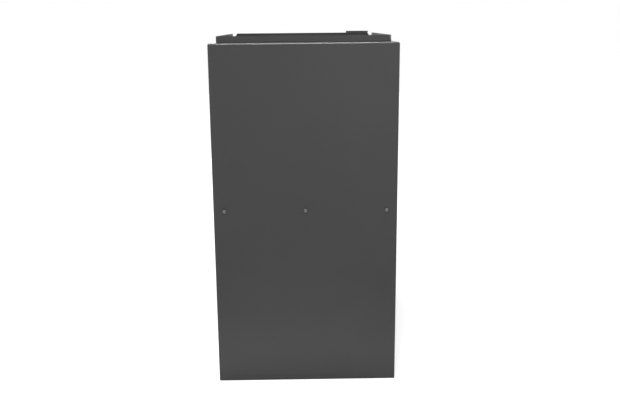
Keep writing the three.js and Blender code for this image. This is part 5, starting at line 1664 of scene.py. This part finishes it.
@dataclass
class Studio:
    """Pale floor, soft even light and the camera at the photograph's angle."""

    camera_at: Point = (0.014, 2.197, 0.881)
    turn: float = 0.78
    pitch: float = 13.21
    roll: float = -0.52
    sensor: float = 36.0
    lens: float = 780 / 620 * 36
    world_light: float = 0.52
    high_light: float = 0.9
    high_angle: float = 12.0
    high_from: Point = (0.12, 0.5, 0.85)
    floor_colour: Colour = (0.8, 0.8, 0.8)
    floor_glow: float = 0.55
    floor_reach: float = 8.0
    floor_thick: float = 0.02
    soft_boxes: Tuple[SoftBox, ...] = (
        SoftBox("crease strip", (0.03, 0.29, 1.5), (0.5, 0.2), 1.8, (0.03, 0.32, 0.84), 46.0),
        SoftBox("front soft box", (-0.7, 2.9, 0.6), (1.8, 1.8), 8.0, (0, 0.3, 0.4)),
        SoftBox("fill", (1.2, 2.6, 0.7), (1.8, 1.8), 3.0, (0, 0.3, 0.4)),
        SoftBox("door soft box", (0.9, -2.9, 1.3), (1.8, 1.8), 20.0, (0, -0.3, 0.4)),
        SoftBox("side soft box", (3.0, -0.6, 1.2), (1.8, 1.8), 9.0, (0.2, 0, 0.4)),
        SoftBox("far side soft box", (-3.0, -0.6, 1.2), (1.8, 1.8), 9.0, (-0.2, 0, 0.4)))

    def build(self) -> None:
        """Builds the world, the floor, the lamps and the camera."""
        scene = bpy.context.scene
        scene.view_settings.view_transform = "Standard"
        self.world(scene)
        self.floor()
        self.lamps()
        self.camera(scene)

    def world(self, scene: bpy.types.Scene) -> None:
        """White for camera, glossy and transmission rays; plain grey light for the rest.

        Args:
            scene: The scene that gets the world.
        """
        world = bpy.data.worlds.new("studio")
        world.use_nodes = True
        tree = world.node_tree
        tree.nodes.clear()
        light = tree.nodes.new("ShaderNodeBackground")
        light.inputs["Color"].default_value = (1, 1, 1, 1)
        light.inputs["Strength"].default_value = self.world_light
        white = tree.nodes.new("ShaderNodeBackground")
        white.inputs["Color"].default_value = (1, 1, 1, 1)
        white.inputs["Strength"].default_value = 1.0
        path = tree.nodes.new("ShaderNodeLightPath")
        either = tree.nodes.new("ShaderNodeMath")
        either.operation = "MAXIMUM"
        all_three = tree.nodes.new("ShaderNodeMath")
        all_three.operation = "MAXIMUM"
        mix = tree.nodes.new("ShaderNodeMixShader")
        output = tree.nodes.new("ShaderNodeOutputWorld")
        tree.links.new(path.outputs["Is Camera Ray"], either.inputs[0])
        tree.links.new(path.outputs["Is Glossy Ray"], either.inputs[1])
        tree.links.new(either.outputs[0], all_three.inputs[0])
        tree.links.new(path.outputs["Is Transmission Ray"], all_three.inputs[1])
        tree.links.new(all_three.outputs[0], mix.inputs[0])
        tree.links.new(light.outputs[0], mix.inputs[1])
        tree.links.new(white.outputs[0], mix.inputs[2])
        tree.links.new(mix.outputs[0], output.inputs["Surface"])
        scene.world = world

    def floor(self) -> None:
        """Large pale floor that the camera sees as white, but for the object's shadow."""
        reach = self.floor_reach
        made = new_object("studio_floor", lambda work: add_box(
            work, (-reach, -reach, -self.floor_thick), (reach, reach, 0)))
        material = bpy.data.materials.new("pale_floor")
        material.use_nodes = True
        tree = material.node_tree
        tree.nodes.clear()
        paint = tree.nodes.new("ShaderNodeBsdfDiffuse")
        paint.inputs["Color"].default_value = (*self.floor_colour, 1.0)
        glow = tree.nodes.new("ShaderNodeEmission")
        glow.inputs["Color"].default_value = (1, 1, 1, 1)
        path = tree.nodes.new("ShaderNodeLightPath")
        seen = tree.nodes.new("ShaderNodeMath")
        seen.operation = "MULTIPLY"
        seen.inputs[1].default_value = self.floor_glow
        tree.links.new(path.outputs["Is Camera Ray"], seen.inputs[0])
        tree.links.new(seen.outputs[0], glow.inputs["Strength"])
        add = tree.nodes.new("ShaderNodeAddShader")
        output = tree.nodes.new("ShaderNodeOutputMaterial")
        tree.links.new(paint.outputs[0], add.inputs[0])
        tree.links.new(glow.outputs[0], add.inputs[1])
        tree.links.new(add.outputs[0], output.inputs["Surface"])
        made.data.materials.append(material)
        made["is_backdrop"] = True

    def lamps(self) -> None:
        """Soft panels all round, a strip over the top fold and one broad high light."""
        sky = bpy.data.lights.new("high light", "SUN")
        sky.energy = self.high_light
        sky.angle = math.radians(self.high_angle)
        lit = bpy.data.objects.new("high light", sky)
        lit.matrix_world = Vector(self.high_from).to_track_quat("Z", "Y").to_matrix().to_4x4()
        bpy.context.scene.collection.objects.link(lit)
        for box in self.soft_boxes:
            box.build()

    def camera(self, scene: bpy.types.Scene) -> None:
        """Camera where the photograph was taken from.

        Args:
            scene: The scene that it becomes the camera of.
        """
        data = bpy.data.cameras.new("photo camera")
        data.lens = self.lens
        data.sensor_width = self.sensor
        made = bpy.data.objects.new("photo camera", data)
        heading, pitch = math.radians(self.turn), math.radians(self.pitch)
        forward = Vector((-math.sin(heading) * math.cos(pitch),
                          -math.cos(heading) * math.cos(pitch), -math.sin(pitch)))
        turn = forward.to_track_quat("-Z", "Y").to_matrix().to_4x4()
        made.matrix_world = (Matrix.Translation(self.camera_at) @ turn
                             @ Matrix.Rotation(math.radians(self.roll), 4, "Z"))
        scene.collection.objects.link(made)
        scene.camera = made


def corners() -> List[List[float]]:
    """Lowest and highest corner of the shown object, as plain lists."""
    return [[round(value, 6) for value in corner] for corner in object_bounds()]


def main() -> None:
    """Builds the furnace and its studio."""
    logging.basicConfig(level=logging.INFO, format="%(name)s: %(message)s")
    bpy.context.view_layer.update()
    Studio().build()
    for assembly in (Cabinet(), HeatExchanger(), Blower(), Flue(), Controls(), Doors()):
        assembly.build()
    Remaining().build()


if __name__ == "__main__":
    main()
